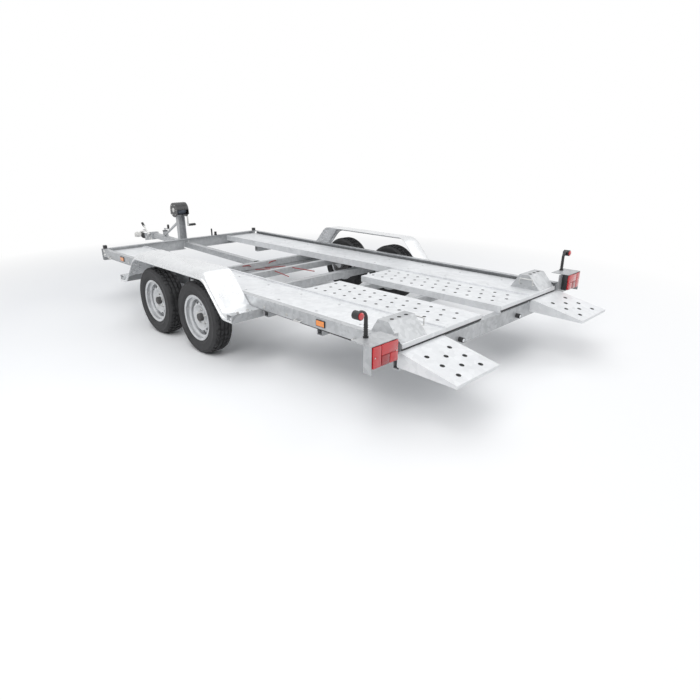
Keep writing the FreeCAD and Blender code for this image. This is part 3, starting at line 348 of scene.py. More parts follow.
def ship(obj, name, material, body, smooth=None, replaces=()):
    """Names a finished piece, gives it its finish and joins it to a CAD body."""
    obj.name = name
    obj.data.name = name
    obj.data.materials.clear()
    obj.data.materials.append(material)
    if smooth:
        only(obj)
        bpy.ops.object.shade_smooth_by_angle(angle=math.radians(smooth))
    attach(obj, body)
    if replaces:
        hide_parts(*replaces)
    return obj


def hexes(places, radius, depth, way):
    """Bolt heads; way is the direction in which each stands out."""
    heads = []
    for x, y, z in places:
        end = (x + way[0] * depth, y + way[1] * depth, z + way[2] * depth)
        heads.append(rod((x, y, z), end, radius, 6, radius * 0.12))
        ring = (x + way[0] * depth * 0.25, y + way[1] * depth * 0.25, z + way[2] * depth * 0.25)
        heads.append(rod((x, y, z), ring, radius * 1.4, 20))
    return merge(heads)


# ---- pieces ----
def paint_frame(m):
    """Finish of every CAD node that stays in sight."""
    for name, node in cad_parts.items():
        if name.startswith(("track_", "ramp_left", "ramp_right")) and "bearer" not in name:
            finish = "deck"
        elif name.startswith("fender_l") or name.startswith("fender_r"):
            finish = "fender"
        elif name.startswith("tyre"):
            finish = "tyre"
        elif name.startswith("rim"):
            finish = "wheel"
        elif name.startswith("side_refl"):
            finish = "orange"
        elif name.startswith("tail_lamp"):
            finish = "red"
        elif name.startswith("marker") or name in ("drawbar_cap", "plate_lamps", "front_markers",
                                                   "front_posts"):
            finish = "plastic"
        elif name in ("coupling_gaiter", "jockey_wheel"):
            finish = "rubber"
        elif name == "winch":
            finish = "black_steel"
        elif name == "coupling_housing":
            finish = "casting"
        elif name in ("coupling_head", "jockey_fork", "handbrake_lever", "winch_crank"):
            finish = "zinc"
        else:
            finish = "galvanised"
        node.data.materials.clear()
        node.data.materials.append(m[finish])


def tyre(m, label, tread_depth):
    x, side = WHEELS[label]
    flank = [(0.168, -0.067), (0.186, -0.067), (0.197, -0.0745), (0.212, -0.0790), (0.214, -0.0805),
             (0.2175, -0.0805), (0.219, -0.0792), (0.237, -0.0815), (0.257, -0.0805), (0.259,
                                                                                       -0.0815),
             (0.263, -0.0812), (0.2645, -0.0795), (0.276, -0.0745), (0.2835, -0.0675), (0.2875,
                                                                                        -0.060)]
    low = 0.2895 - tread_depth
    ribs = [(0.2895, -0.052), (0.2895, -0.0375), (low, -0.0365), (low, -0.0305), (0.29, -0.0295),
            (0.29, -0.0045), (low, -0.0035)]
    half = flank + ribs
    profile = half + [(r, -y) for r, y in reversed(half)]
    obj = lathe(profile, (x, side * WHEEL_Y, WHEEL_Z), (math.radians(90), 0, 0), 144)
    only(obj)
    bpy.ops.object.mode_set(mode="EDIT")
    bpy.ops.mesh.select_mode(type="FACE")
    bpy.ops.mesh.select_all(action="DESELECT")
    bpy.ops.object.mode_set(mode="OBJECT")
    for face in obj.data.polygons:
        dx, dz = face.center.x - x, face.center.z - WHEEL_Z
        across = abs(face.center.y - side * WHEEL_Y)
        turn = int((math.atan2(dz, dx) + math.pi) / (2 * math.pi) * 144 + 0.5)
        out = math.hypot(dx, dz)
        shoulder = 0.038 < across < 0.068 and out > 0.28 and turn % 3 == 0
        middle = 0.006 < across < 0.029 and out > 0.286 and (turn + 1) % 4 == 0
        face.select = shoulder or middle
    bpy.ops.object.mode_set(mode="EDIT")
    bpy.ops.mesh.extrude_region_shrink_fatten(TRANSFORM_OT_shrink_fatten={"value": -tread_depth * 0.8})
    bpy.ops.mesh.select_mode(type="VERT")
    bpy.ops.object.mode_set(mode="OBJECT")
    ship(obj, "tyre_tread_" + label, m["tyre"], "wheel_" + label, 30, ["tyre_" + label])


def wheel(m, label, vents):
    x, side = WHEELS[label]
    body = "wheel_" + label
    centre = (x, side * WHEEL_Y, WHEEL_Z)
    turn = (math.radians(-90 * side), 0, 0)
    barrel = [(0.183, -0.073), (0.183, -0.067), (0.168, -0.066), (0.168, -0.020), (0.150, -0.010),
              (0.150, 0.030), (0.168, 0.040), (0.168, 0.066), (0.180, 0.0665), (0.1835, 0.0690),
              (0.1835, 0.0715), (0.180, 0.073), (0.1745, 0.0705), (0.1635, 0.0685), (0.1630, 0.043),
              (0.145, 0.033), (0.145, -0.013), (0.163, -0.023), (0.163, -0.073)]
    disc = [(0.1455, -0.002), (0.140, 0.003), (0.134, 0.014), (0.120, 0.030), (0.108, 0.036),
            (0.098, 0.037), (0.090, 0.033), (0.080, 0.024), (0.074, 0.021), (0.052, 0.021),
            (0.048, 0.024), (0.0325, 0.025), (0.0325, 0.020), (0.050, 0.015), (0.076, 0.015),
            (0.086, 0.026), (0.100, 0.031), (0.118, 0.024), (0.132, 0.008), (0.1455, -0.010)]
    face = lathe(disc, centre, turn, 120)
    for index in range(vents):
        angle = 2 * math.pi * (index + 0.5) / vents
        px, pz = x + math.cos(angle) * 0.1145, WHEEL_Z + math.sin(angle) * 0.1145
        bpy.ops.object.select_all(action="DESELECT")
        bpy.ops.mesh.primitive_cylinder_add(vertices=28, radius=1, depth=0.12,
                                            rotation=(math.radians(90), 0, 0))
        tool = bpy.context.object
        tool.scale = (0.0085, 0.0150, 1)
        settle(tool)
        tool.rotation_euler = (0, -angle, 0)
        tool.location = (px, side * WHEEL_Y, pz)
        settle(tool)
        cut(face, tool)
    rim = merge([face, lathe(barrel, centre, turn, 120)])
    ship(rim, "wheel_disc_" + label, m["wheel"], body, 35, ["rim_" + label])
    inner = side * 1.050
    drum = lathe([(0.021, 0), (0.115, 0), (0.115, 0.056), (0.111, 0.060), (0.056, 0.061),
                  (0.055, 0.105),
                  (0.021, 0.105)], (x, inner, WHEEL_Z), turn, 72)
    cap = lathe([(0.031, 0.012), (0.031, 0.046), (0.029, 0.052), (0.024, 0.055), (0.001, 0.0555)],
                centre, turn, 48, closed=False)
    ship(merge([drum, cap]), "hub_drum_" + label, m["hub"], body, 35)
    bolts = []
    for index in range(5):
        angle = 2 * math.pi * index / 5 + 0.3
        px, pz = x + math.cos(angle) * 0.056, WHEEL_Z + math.sin(angle) * 0.056
        y0, y1 = side * (WHEEL_Y + 0.019), side * (WHEEL_Y + 0.036)
        bolts.append(rod((px, y0, pz), (px, y1, pz), 0.0095, 6, 0.001))
        bolts.append(rod((px, y0, pz), (px, side * (WHEEL_Y + 0.024), pz), 0.013, 24))
    bolts.append(rod((x + 0.15, side * (WHEEL_Y + 0.045), WHEEL_Z + 0.045),
                     (x + 0.158, side * (WHEEL_Y + 0.071), WHEEL_Z + 0.047), 0.004, 12))
    ship(merge(bolts), "wheel_bolts_" + label, m["zinc"], body, 35)


def fender_path():
    """Points (x from the fender's middle, height) along the top of a fender, front to rear."""
    slope = math.atan2(0.692 - 0.444, 0.230)
    points = []
    reach, radius = 0.065 * math.tan(slope / 2), 0.065
    for step in range(7):
        a = slope * step / 6
        points.append((0.805 + reach - radius * math.sin(a), 0.444 + radius * (1 - math.cos(a))))
    radius = 0.130
    reach = radius * math.tan(slope / 2)
    for step in range(11):
        a = slope * (1 - step / 10)
        points.append((0.575 - reach + radius * math.sin(a), 0.692 - radius * (1 - math.cos(a))))
    front = [(0.925, 0.444), (0.880, 0.444)] + points + [(0.30, 0.692), (0.10, 0.692)]
    return front + [(-x, z) for x, z in reversed(front)]


def fender(m, label, lip):
    """Crowned sheet with a rolled double lip, shaped column by column from a grid."""
    side = SIDES[label]
    section = [(1.015, 0.0), (1.060, 0.0), (1.130, -0.0005), (1.175, -0.002), (1.200, -0.005),
               (1.218, -0.010), (1.232, -0.018), (1.241, -0.028), (1.2455, -0.038),
               (1.2465, -0.044), (1.2520, -0.0465), (1.2575, -0.0455), (1.2605, -0.0485),
               (1.2615, -0.0535), (1.2605, -0.0585), (1.2570, -0.0585 - lip), (1.2530,
                                                                               -0.0590 - lip)]
    path = fender_path()
    count_x, count_y = len(path), len(section)
    bpy.ops.object.select_all(action="DESELECT")
    bpy.ops.mesh.primitive_grid_add(x_subdivisions=count_x - 1, y_subdivisions=count_y - 1, size=2)
    obj = settle(bpy.context.object)
    columns = sorted({round(v.co.x, 4) for v in obj.data.vertices})
    rows = sorted({round(v.co.y, 4) for v in obj.data.vertices})
    of_vertex = [(columns.index(round(v.co.x, 4)), rows.index(round(v.co.y, 4)))
                 for v in obj.data.vertices]

    def shift(axis, index, move):
        for vertex, place in zip(obj.data.vertices, of_vertex):
            vertex.select = place[axis] == index
        bpy.ops.object.mode_set(mode="EDIT")
        bpy.ops.transform.translate(value=move)
        bpy.ops.mesh.select_all(action="DESELECT")
        bpy.ops.object.mode_set(mode="OBJECT")

    bpy.ops.object.mode_set(mode="EDIT")
    bpy.ops.mesh.select_mode(type="VERT")
    bpy.ops.mesh.select_all(action="DESELECT")
    bpy.ops.object.mode_set(mode="OBJECT")
    for index, (x, z) in enumerate(reversed(path)):
        shift(0, index, (FENDER_MIDDLE_X + x - columns[index], 0, z))
    for index, (y, drop) in enumerate(section):
        shift(1, index, (0, y - rows[index], drop))
    made = obj.modifiers.new("sheet", "SOLIDIFY")
    made.thickness = 0.0035
    made.offset = -1
    only(obj)
    bpy.ops.object.modifier_apply(modifier=made.name)
    if side < 0:
        obj.scale = (1, -1, 1)
        settle(obj)
        bpy.ops.object.mode_set(mode="EDIT")
        bpy.ops.mesh.select_all(action="SELECT")
        bpy.ops.mesh.normals_make_consistent(inside=False)
        bpy.ops.object.mode_set(mode="OBJECT")
    ship(obj, "fender_shell_" + label, m["fender"], "chassis", 40, ["fender_" + label])
    places = [(FENDER_MIDDLE_X + x, side * 1.100, 0.4445) for x in (-0.895, 0.895)]
    places += [(FENDER_MIDDLE_X + x, side * 1.185, 0.4445) for x in (-0.895, 0.895)]
    ship(hexes(places, 0.009, 0.006, (0, 0, 1)), "fender_bolts_" + label, m["zinc"], "chassis", 35)


def tail_lamp(m, label):
    """Black housing with a red lens split into panels."""
    side = SIDES[label]
    low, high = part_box("tail_lamp_" + label)
    face = low.x
    y1, y2 = sorted((low.y, high.y))
    housing = block(face + 0.014, high.x, y1, y2, low.z, high.z, 0.004)
    ship(housing, "lamp_housing_" + label, m["plastic"], "chassis", 35, ["tail_lamp_" + label])
    outer = y2 if side > 0 else y1
    inner = y1 if side > 0 else y2
    step = outer - inner

    def part(a, b, za, zb):
        ya, yb = sorted((inner + step * a, inner + step * b))
        return block(face, face + 0.018, ya + 0.0012, yb - 0.0012, za, zb, 0.003)

    middle = (low.z + high.z) / 2
    red = [part(0.03, 0.66, middle, high.z - 0.004),
           part(0.03, 0.34, low.z + 0.004, middle - 0.002)]
    ship(merge(red), "lamp_red_" + label, m["red"], "chassis", 35)
    ship(part(0.67, 0.97, low.z + 0.004, high.z - 0.004), "lamp_end_" + label, m["red"],
         "chassis", 35)
    ship(part(0.35, 0.66, low.z + 0.004, middle - 0.002), "lamp_low_" + label, m["dark_red"],
         "chassis", 35)
    screws = [(face, inner + step * a, middle) for a in (0.1, 0.9)]
    ship(merge([rod(p, (p[0] - 0.001, p[1], p[2]), 0.004, 16) for p in screws]),
         "lamp_screws_" + label,
         m["zinc"], "chassis", 35)


def marker_lamp(m, label):
    """Lenses on both faces of the round lamp at the end of the rubber arm."""
    low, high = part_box("marker_lamp_" + label)
    side = SIDES[label]
    y, z = side * MARKER_Y, MARKER_Z
    middle = (low.x + high.x) / 2
    rear = lathe(MARKER_PROFILE,
                 (middle - 0.023, y, z), (0, math.radians(-90), 0), 40, closed=False)
    ship(rear, "marker_rear_" + label, m["red"], "chassis", 40)
    front = lathe(MARKER_PROFILE,
                  (middle + 0.023, y, z), (0, math.radians(90), 0), 40, closed=False)
    ship(front, "marker_front_" + label, m["clear"], "chassis", 40)
    rings = []
    for number in range(5):
        zr = 0.592 + number * 0.013
        rings.append(lathe([(0.011, 0), (0.0135, 0.003), (0.011, 0.006)],
                           (middle, side * 1.200, zr), (0, 0, 0), 28))
    ship(merge(rings), "marker_ribs_" + label, m["rubber"], "chassis", 40)


def small_lamps(m):
    """Plate lamps, front markers and the frames of the side reflectors."""
    low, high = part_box("plate_lamps")
    z = (low.z + high.z) / 2
    lenses = [rod((low.x - 0.001, y, z), (low.x + 0.010, y, z), 0.0135, 28,
                  0.002) for y in (-0.372, 0.372)]
    ship(merge(lenses), "plate_lamp_lenses", m["clear"], "chassis", 35)
    low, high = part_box("front_markers")
    lenses = [block(high.x - 0.006, high.x + 0.002, y - 0.012, y + 0.012, low.z + 0.005,
                    high.z - 0.005, 0.002)
              for y in (-0.976, 0.976)]
    ship(merge(lenses), "front_marker_lenses", m["clear"], "chassis", 35)
    for label, side in SIDES.items():
        rims = []
        for x in REFLECTOR_XS:
            for dz in (-0.0195, 0.0195):
                ys = sorted((side * 1.010, side * 1.0165))
                rims.append(block(x - 0.041, x + 0.041, *ys, REFLECTOR_Z + dz - 0.0025,
                                  REFLECTOR_Z + dz + 0.0025))
            for dx in (-0.0395, 0.0395):
                ys = sorted((side * 1.010, side * 1.0165))
                rims.append(block(x + dx - 0.0025, x + dx + 0.0025, *ys, 0.46, 0.50))
        ship(merge(rims), "reflector_frames_" + label, m["plastic"], "chassis")


def rail_hardware(m, label):
    """Bolt heads, lashing eyes and a plate with blank labels on one side rail."""
    side = SIDES[label]
    way = (0, side, 0)
    places = [(x, side * RAIL_FACE, 0.500) for x in (-2.56, -2.53)]
    places += [(x, side * RAIL_FACE, z) for x in (1.50, 1.525) for z in (0.462, 0.500)]
    places += [(x, side * RAIL_FACE, 0.462) for x in (-1.36, 0.59, 0.115, 0.915, -1.62)]
    ship(hexes(places, 0.0085, 0.007, way), "rail_bolts_" + label, m["zinc"], "chassis", 35)
    eyes = []
    for x in (-2.30, -1.75, 0.72, 1.36):
        y1, y2 = side * RAIL_FACE, side * 1.030
        eyes.append(tube_along([(x - 0.028, y1, 0.455), (x - 0.028, y2, 0.450),
                                (x + 0.028, y2, 0.450),
                                (x + 0.028, y1, 0.455)], 0.005))
    ship(merge(eyes), "lashing_eyes_" + label, m["zinc"], "chassis", 40)
    ys = sorted((side * RAIL_FACE, side * 1.0135))
    ship(block(-0.470, -0.300, *ys, 0.446, 0.514, 0.001), "label_plate_" + label, m["plastic"],
         "chassis")
    ys = sorted((side * 1.0135, side * 1.0141))
    labels = [block(x, x + 0.062, *ys, 0.456, 0.504) for x in (-0.462, -0.385)]
    ship(merge(labels), "blank_labels_" + label, m["label"], "chassis")


def guard_detail(m, label):
    """Rounded shoulder strips, oval recesses drawn as dark discs of painted shade, and the thin wire
    handle of one ramp guard, with a dark strip of painted shade under the plank edge.
    """
    side = SIDES[label]
    low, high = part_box("ramp_guard_" + label)
    y = (low.y + high.y) / 2
    x = low.x + 0.1
    # Dark discs on the guard top: painted shade of its oval recesses
    recess_shades = []
    for offset in (-0.065, 0, 0.065):
        recess_shades.append(rod((x + 0.02, y + offset, high.z - 0.003),
                         (x + 0.02, y + offset, high.z + 0.0008), 0.013, 28))
    ship(merge(recess_shades), "guard_recess_shade_" + label, m["dark"], "chassis", 35)
    inner = side * min(abs(low.y), abs(high.y))
    out = inner - side * 0.030
    handle = tube_along([(x - 0.05, inner, 0.530), (x - 0.05, out, 0.530), (x - 0.05, out, 0.575),
                         (x + 0.06, out, 0.575), (x + 0.06, out, 0.530), (x + 0.06, inner,
                                                                          0.530)], 0.004)
    ship(handle, "guard_handle_" + label, m["zinc"], "chassis", 40)
    strip = block(-2.612, -2.600, *sorted((side * 0.130, side * 0.965)), 0.462, 0.4915, 0.002)
    ship(strip, "plank_edge_" + label, m["deck"], "chassis", 35)
    # Dark strip under the plank edge in the rubber finish: painted shade of the gap between the plank
    # ends and the rear beam
    shadow = block(-2.609, -2.604, *sorted((side * 0.130, side * 0.965)), 0.449, 0.4615)
    ship(shadow, "plank_gap_shade_" + label, m["rubber"], "chassis")


def punched_holes(m, label):
    """Raised collars of the punched holes in one ramp and one inner plank, with a dark disc in each
    hole as painted shade.
    """
    side = SIDES[label]
    slope = math.atan2(0.078, 0.370)
    tilt = (-math.sin(slope), 0, math.cos(slope))
    holes = []
    for row in range(5):
        x = -2.736 - row * HOLE_PITCH
        z = 0.372 + (x + 3.015) * math.tan(slope)
        offsets = (-HOLE_OFFSET, HOLE_OFFSET) if row % 2 == 0 else (0,)
        holes += [((x, side * (0.7875 + o), z), tilt, 0.0155) for o in offsets]
    for row in range(24):
        x = -1.289 - row * HOLE_PITCH
        offsets = (-HOLE_OFFSET, HOLE_OFFSET) if row % 2 == 0 else (0,)
        holes += [((x, side * (0.337 + o), TRACK_TOP), (0, 0, 1), 0.0125) for o in offsets]
    collars, hole_shades = [], []
    for centre, way, radius in holes:
        below = [c - 0.002 * w for c, w in zip(centre, way)]
        rim = [c + 0.0008 * w for c, w in zip(centre, way)]
        top = [c + 0.0012 * w for c, w in zip(centre, way)]
        collars.append(rod(below, rim, radius + 0.0035, 24))
        # Dark disc filling the through hole: painted shade, since the floor seen through it is lit
        hole_shades.append(rod(below, top, radius, 24))
    ship(merge(collars), "hole_collars_" + label, m["deck"], "chassis", 35)
    ship(merge(hole_shades), "hole_painted_shade_" + label, m["dark"], "chassis", 35)


def underside(m):
    """Brake cables and the wiring that cross the open middle of the bed."""
    for label, side in SIDES.items():
        cables = [tube_along([(-0.58, side * 0.16, 0.425), (-0.20, side * 0.09, 0.428),
                              (0.10, side * 0.06, 0.372), (0.40, side * 0.05, 0.365)], 0.0045),
                  tube_along([(0.13, side * 0.40, 0.427), (0.08, side * 0.14, 0.429),
                              (0.12, side * 0.055, 0.376)], 0.0045)]
        ship(merge(cables), "brake_cables_" + label, m["cable"], "chassis", 40)
        loom = tube_along([(-2.53, side * 1.0, 0.431), (-1.5, side * 0.985, 0.431),
                           (-0.2, side * 0.985, 0.4315),
                           (1.5, side * 0.985, 0.431)], 0.006)
        ship(loom, "wiring_" + label, m["rubber"], "chassis", 40)


def winch_detail(m):
    """Strap on the drum, cheek bosses and the rubber grip of the crank."""
    centre = (WINCH_X, 0, WINCH_Z)
    strap = lathe([(0.033, -0.056), (0.058, -0.056), (0.060, -0.050), (0.060, 0.050),
                   (0.058, 0.056),
                   (0.033, 0.056)], centre, (math.radians(90), 0, 0), 48)
    ship(strap, "winch_strap", m["strap"], "drawbar", 35)
    bosses = [rod((WINCH_X, s * 0.075, WINCH_Z), (WINCH_X, s * 0.081, WINCH_Z), 0.026, 32,
                  0.0015) for s in (-1, 1)]
    for s in (-1, 1):
        for k in range(6):
            a = math.pi * 2 * k / 6
            px, pz = WINCH_X + 0.062 * math.cos(a), WINCH_Z + 0.062 * math.sin(a)
            bosses.append(rod((px, s * 0.075, pz), (px, s * 0.079, pz), 0.006, 6))
    ship(merge(bosses), "winch_bosses", m["zinc"], "drawbar", 35)
    ribs = []
    for y in (-0.050, -0.025, 0.0, 0.025, 0.050):
        last = None
        for k in range(13):
            a = math.pi * k / 12
            p = (WINCH_X + WINCH_COVER_RADIUS * math.cos(a), y,
                 WINCH_Z + WINCH_COVER_RADIUS * math.sin(a))
            if last:
                ribs.append(rod(last, p, 0.0022, 8))
            last = p
    ship(merge(ribs), "winch_cover_ribs", m["black_steel"], "drawbar", 40)
    grip = lathe([(0.013, 0), (0.0145, 0.003), (0.0145, 0.020), (0.0135, 0.028), (0.0145, 0.036),
                  (0.0145, 0.086), (0.012, 0.092)], (1.675, -0.099, 0.664), (math.radians(90), 0,
                                                                             0), 32)
    ship(grip, "crank_grip", m["rubber"], "drawbar", 40)
    places = [(1.703, y, z) for y in (-0.03, 0.03) for z in (0.72, 0.76)]
    ship(hexes(places, 0.008, 0.006, (1, 0, 0)), "post_bolts", m["zinc"], "drawbar", 35)


def coupling_detail(m):
    """Bellows, grips and bolts of the overrun coupling."""
    points = []
    for fold in range(9):
        x = fold * 0.0165
        points += [(0.0275, x + 0.001), (0.0362, x + 0.007), (0.0362, x + 0.0095)]
    points += [(0.0275, 0.1495)]
    bellows = lathe(points + [(0.022, 0.1495), (0.022, 0.001)], (2.625, 0, 0.430),
                    (0, math.radians(90), 0), 56)
    ship(bellows, "gaiter_bellows", m["rubber"], "drawbar", 50, ["coupling_gaiter"])
    low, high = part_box("coupling_housing")
    bolts = []
    for x in (low.x + 0.03, low.x + 0.075, low.x + 0.16):
        for s in (-1, 1):
            bolts.append((x, s * 0.048, 0.430, s))
    heads = [hexes([(x, y, z)], 0.010, 0.007, (0, s, 0)) for x, y, z, s in bolts]
    ship(merge(heads), "housing_bolts", m["zinc"], "drawbar", 35)
    lever = math.radians(40)
    way = (math.cos(lever), math.sin(lever))
    low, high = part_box("handbrake_lever")
    tip = (high.x - 0.010, 0.062, high.z - 0.012)
    start = (tip[0] - way[0] * 0.06, 0.062, tip[2] - way[1] * 0.06)
    ship(rod(start, tip, 0.0152, 28, 0.004), "handbrake_grip", m["rubber"], "drawbar", 40)
    ship(block(2.690, 2.746, -0.014, 0.014, 0.5085, 0.5105, 0.0008), "handle_pad", m["rubber"],
         "drawbar")


def jockey_detail(m, grip_radius):
    """Clamp screw grip, crank knob, and the hub of the jockey wheel."""
    x, y = JOCKEY_X, JOCKEY_Y
    knob = lathe([(0.004, 0), (grip_radius, 0.004), (grip_radius + 0.001, 0.030),
                  (grip_radius, 0.050),
                  (0.006, 0.0545)], (2.167, y, 0.5705), (0, 0, 0), 32)
    ship(knob, "jockey_knob", m["plastic"], "drawbar", 40)
    collar = lathe([(0.0302, 0), (0.033, 0.002), (0.033, 0.010), (0.0302, 0.012)], (x, y, 0.531),
                   (0, 0, 0), 40)
    ship(collar, "jockey_collar", m["plastic"], "drawbar", 40)
    hub = [lathe([(0.0085, 0), (0.060, 0), (0.060, 0.001), (0.040, 0.0015), (0.024, 0.003),
                  (0.0085, 0.003)],
                 (2.217, y + s * 0.0115, 0.100), (math.radians(-90 * s), 0, 0), 48) for s in (-1,
                                                                                              1)]
    ship(merge(hub), "jockey_hub", m["zinc"], "jockey_wheel", 35)


# ---- stage ----
def area(name, place, size, power, aim=(0, 0, 0.4)):
    bpy.ops.object.select_all(action="DESELECT")
    bpy.ops.object.light_add(type="AREA", location=place)
    light = bpy.context.object
    light.name = name
    light.data.size = size
    light.data.energy = power
    light.rotation_euler = (Vector(aim) - Vector(place)).to_track_quat("-Z", "Y").to_euler()


def build_stage(light_power):
    scene = bpy.context.scene
    bpy.ops.object.select_all(action="DESELECT")
    bpy.ops.mesh.primitive_plane_add(size=80)
    floor = settle(bpy.context.object)
    floor.name = "floor"
    g = Graph("floor")
    distance = g.node("VectorMath", "Value", {"operation": "LENGTH"})
    g.tree.links.new(g.place().socket, distance.socket.node.inputs[0])
    fade = g.node("MapRange", "Result", Value=distance, From_Min=2.6, From_Max=5.2)
    base = g.node("BsdfPrincipled", Base_Color=(0.93, 0.93, 0.93, 1), Roughness=0.9)
    glow = g.node("Emission", Color=(1, 1, 1, 1), Strength=1.0)
    mix = g.tree.nodes.new("ShaderNodeMixShader")
    g.tree.links.new(fade.socket, mix.inputs[0])
    g.tree.links.new(base.socket, mix.inputs[1])
    g.tree.links.new(glow.socket, mix.inputs[2])
    g.feed_output(Channel(g, mix.outputs[0]))
    floor.data.materials.append(g.material)
    area("key", (-3.5, 5.0, 6.5), 5.0, light_power)
    area("fill", (-5.0, -5.0, 5.0), 6.0, light_power * 0.45)
    area("top", (0.5, 0.0, 8.0), 7.0, light_power * 0.6)
    world = bpy.data.worlds.new("studio")
    scene.world = world
    world.use_nodes = True
    tree = world.node_tree
    tree.nodes.clear()
    out = tree.nodes.new("ShaderNodeOutputWorld")
    seen = tree.nodes.new("ShaderNodeBackground")
    lit = tree.nodes.new("ShaderNodeBackground")
    seen.inputs["Color"].default_value = (1, 1, 1, 1)
    lit.inputs["Color"].default_value = (0.90, 0.94, 1.0, 1)
    lit.inputs["Strength"].default_value = 0.42
    path = tree.nodes.new("ShaderNodeLightPath")
    mix = tree.nodes.new("ShaderNodeMixShader")
    shown = path.outputs["Is Camera Ray"]
    for ray in ("Is Glossy Ray", "Is Transmission Ray"):
        either = tree.nodes.new("ShaderNodeMath")
        either.operation = "MAXIMUM"
        tree.links.new(shown, either.inputs[0])
        tree.links.new(path.outputs[ray], either.inputs[1])
        shown = either.outputs[0]
    tree.links.new(shown, mix.inputs[0])
    tree.links.new(lit.outputs[0], mix.inputs[1])
    tree.links.new(seen.outputs[0], mix.inputs[2])
    tree.links.new(mix.outputs[0], out.inputs["Surface"])
    bpy.ops.object.select_all(action="DESELECT")
    bpy.ops.object.camera_add(location=CAMERA_PLACE)
    camera = bpy.context.object
    yaw, pitch = math.radians(CAMERA_YAW), math.radians(CAMERA_PITCH)
    way = Vector((math.cos(yaw) * math.cos(pitch), math.sin(yaw) * math.cos(pitch),
                  math.sin(pitch)))
    camera.rotation_euler = way.to_track_quat("-Z", "Y").to_euler()
    camera.data.lens = CAMERA_LENS
    camera.data.sensor_width = 36.0
    scene.camera = camera
    scene.render.resolution_x = 700
    scene.render.resolution_y = 700
    scene.view_settings.view_transform = "Standard"


# ---- add-on ----
MATERIALS = {}


def materials():
    if not MATERIALS:
        MATERIALS.update(make_materials())
    return MATERIALS


class TrailerSettings(bpy.types.PropertyGroup):
    """Sizes that can be changed before the pieces are made."""
    tread_depth: bpy.props.FloatProperty(name="Tread depth",
        description="Depth of the grooves in the tyres",
        subtype="DISTANCE", unit="LENGTH", default=0.007, min=0.002, max=0.009)
    vents: bpy.props.IntProperty(name="Wheel vents",
        description="Vent holes in each wheel disc",
        subtype="UNSIGNED", default=12, min=6, max=16)
    lip: bpy.props.FloatProperty(name="Fender lip",
        description="Extra depth of the fenders' rolled edge",
        subtype="DISTANCE", unit="LENGTH", default=0.001, min=0.0, max=0.003)
    grip_radius: bpy.props.FloatProperty(name="Knob radius",
        description="Radius of the knob on the jockey crank",
        subtype="DISTANCE", unit="LENGTH", default=0.0135, min=0.013, max=0.015)
    light_power: bpy.props.FloatProperty(name="Light power",
        description="Strength of the main light in watts",
        subtype="POWER", default=330.0, min=50.0, max=1500.0)


class PaintFrame(bpy.types.Operator):
    """Give the CAD nodes their finishes"""
    bl_idname = "trailer.paint_frame"
    bl_label = "Paint the frame"

    def execute(self, context):
        paint_frame(materials())
        return {"FINISHED"}


class MakeTyres(bpy.types.Operator):
    """Model the four tyres with their tread"""
    bl_idname = "trailer.tyres"
    bl_label = "Tyres"

    def execute(self, context):
        for label in WHEELS:
            tyre(materials(), label, context.scene.trailer.tread_depth)
        return {"FINISHED"}


class MakeWheels(bpy.types.Operator):
    """Model the four wheel discs, drums and bolts"""
    bl_idname = "trailer.wheels"
    bl_label = "Wheels"

    def execute(self, context):
        for label in WHEELS:
            wheel(materials(), label, context.scene.trailer.vents)
        return {"FINISHED"}


class MakeFenders(bpy.types.Operator):
    """Model both fenders with their rolled lips"""
    bl_idname = "trailer.fenders"
    bl_label = "Fenders"

    def execute(self, context):
        for label in SIDES:
            fender(materials(), label, context.scene.trailer.lip)
        return {"FINISHED"}


class MakeLamps(bpy.types.Operator):
    """Model the tail lamps, marker lamps and small lamps"""
    bl_idname = "trailer.lamps"
    bl_label = "Lamps"

    def execute(self, context):
        for label in SIDES:
            tail_lamp(materials(), label)
            marker_lamp(materials(), label)
        small_lamps(materials())
        return {"FINISHED"}


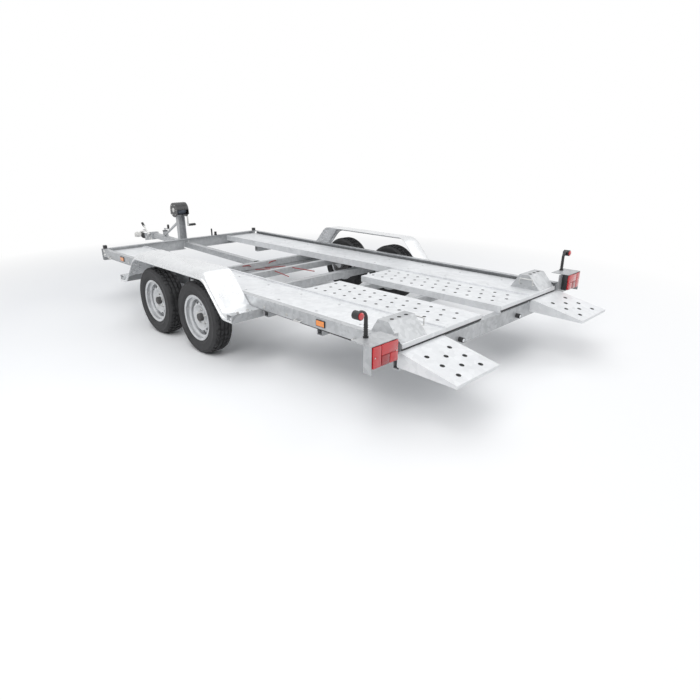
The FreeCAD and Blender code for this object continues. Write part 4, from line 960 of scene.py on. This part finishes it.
class MakeBedDetail(bpy.types.Operator):
    """Model the bolts, eyes, labels, guards' trim and cables of the bed"""
    bl_idname = "trailer.bed_detail"
    bl_label = "Bed detail"

    def execute(self, context):
        for label in SIDES:
            rail_hardware(materials(), label)
            guard_detail(materials(), label)
            punched_holes(materials(), label)
        underside(materials())
        return {"FINISHED"}


class MakeDrawbarDetail(bpy.types.Operator):
    """Model the detail of the winch, coupling and jockey wheel"""
    bl_idname = "trailer.drawbar_detail"
    bl_label = "Drawbar detail"

    def execute(self, context):
        winch_detail(materials())
        coupling_detail(materials())
        jockey_detail(materials(), context.scene.trailer.grip_radius)
        return {"FINISHED"}


class MakeStage(bpy.types.Operator):
    """Set up the floor, lights, backdrop and camera"""
    bl_idname = "trailer.stage"
    bl_label = "Stage"

    def execute(self, context):
        build_stage(context.scene.trailer.light_power)
        return {"FINISHED"}


OPERATORS = (PaintFrame, MakeTyres, MakeWheels, MakeFenders, MakeLamps, MakeBedDetail,
             MakeDrawbarDetail, MakeStage)


class TrailerPanel(bpy.types.Panel):
    """Buttons and sizes of the trailer"""
    bl_idname = "VIEW3D_PT_trailer"
    bl_label = "Car trailer"
    bl_space_type = "VIEW_3D"
    bl_region_type = "UI"
    bl_category = "Trailer"

    def draw(self, context):
        settings = context.scene.trailer
        for name in ("tread_depth", "vents", "lip", "grip_radius", "light_power"):
            self.layout.prop(settings, name)
        for operator in OPERATORS:
            self.layout.operator(operator.bl_idname)


CLASSES = (TrailerSettings,) + OPERATORS + (TrailerPanel,)


def register():
    for item in CLASSES:
        bpy.utils.register_class(item)
    bpy.types.Scene.trailer = bpy.props.PointerProperty(type=TrailerSettings)


def unregister():
    del bpy.types.Scene.trailer
    for item in reversed(CLASSES):
        bpy.utils.unregister_class(item)


def main():
    register()
    bpy.ops.trailer.paint_frame()
    bpy.ops.trailer.tyres()
    bpy.ops.trailer.wheels()
    bpy.ops.trailer.fenders()
    bpy.ops.trailer.lamps()
    bpy.ops.trailer.bed_detail()
    bpy.ops.trailer.drawbar_detail()
    bpy.ops.trailer.stage()


if __name__ == "__main__":
    main()
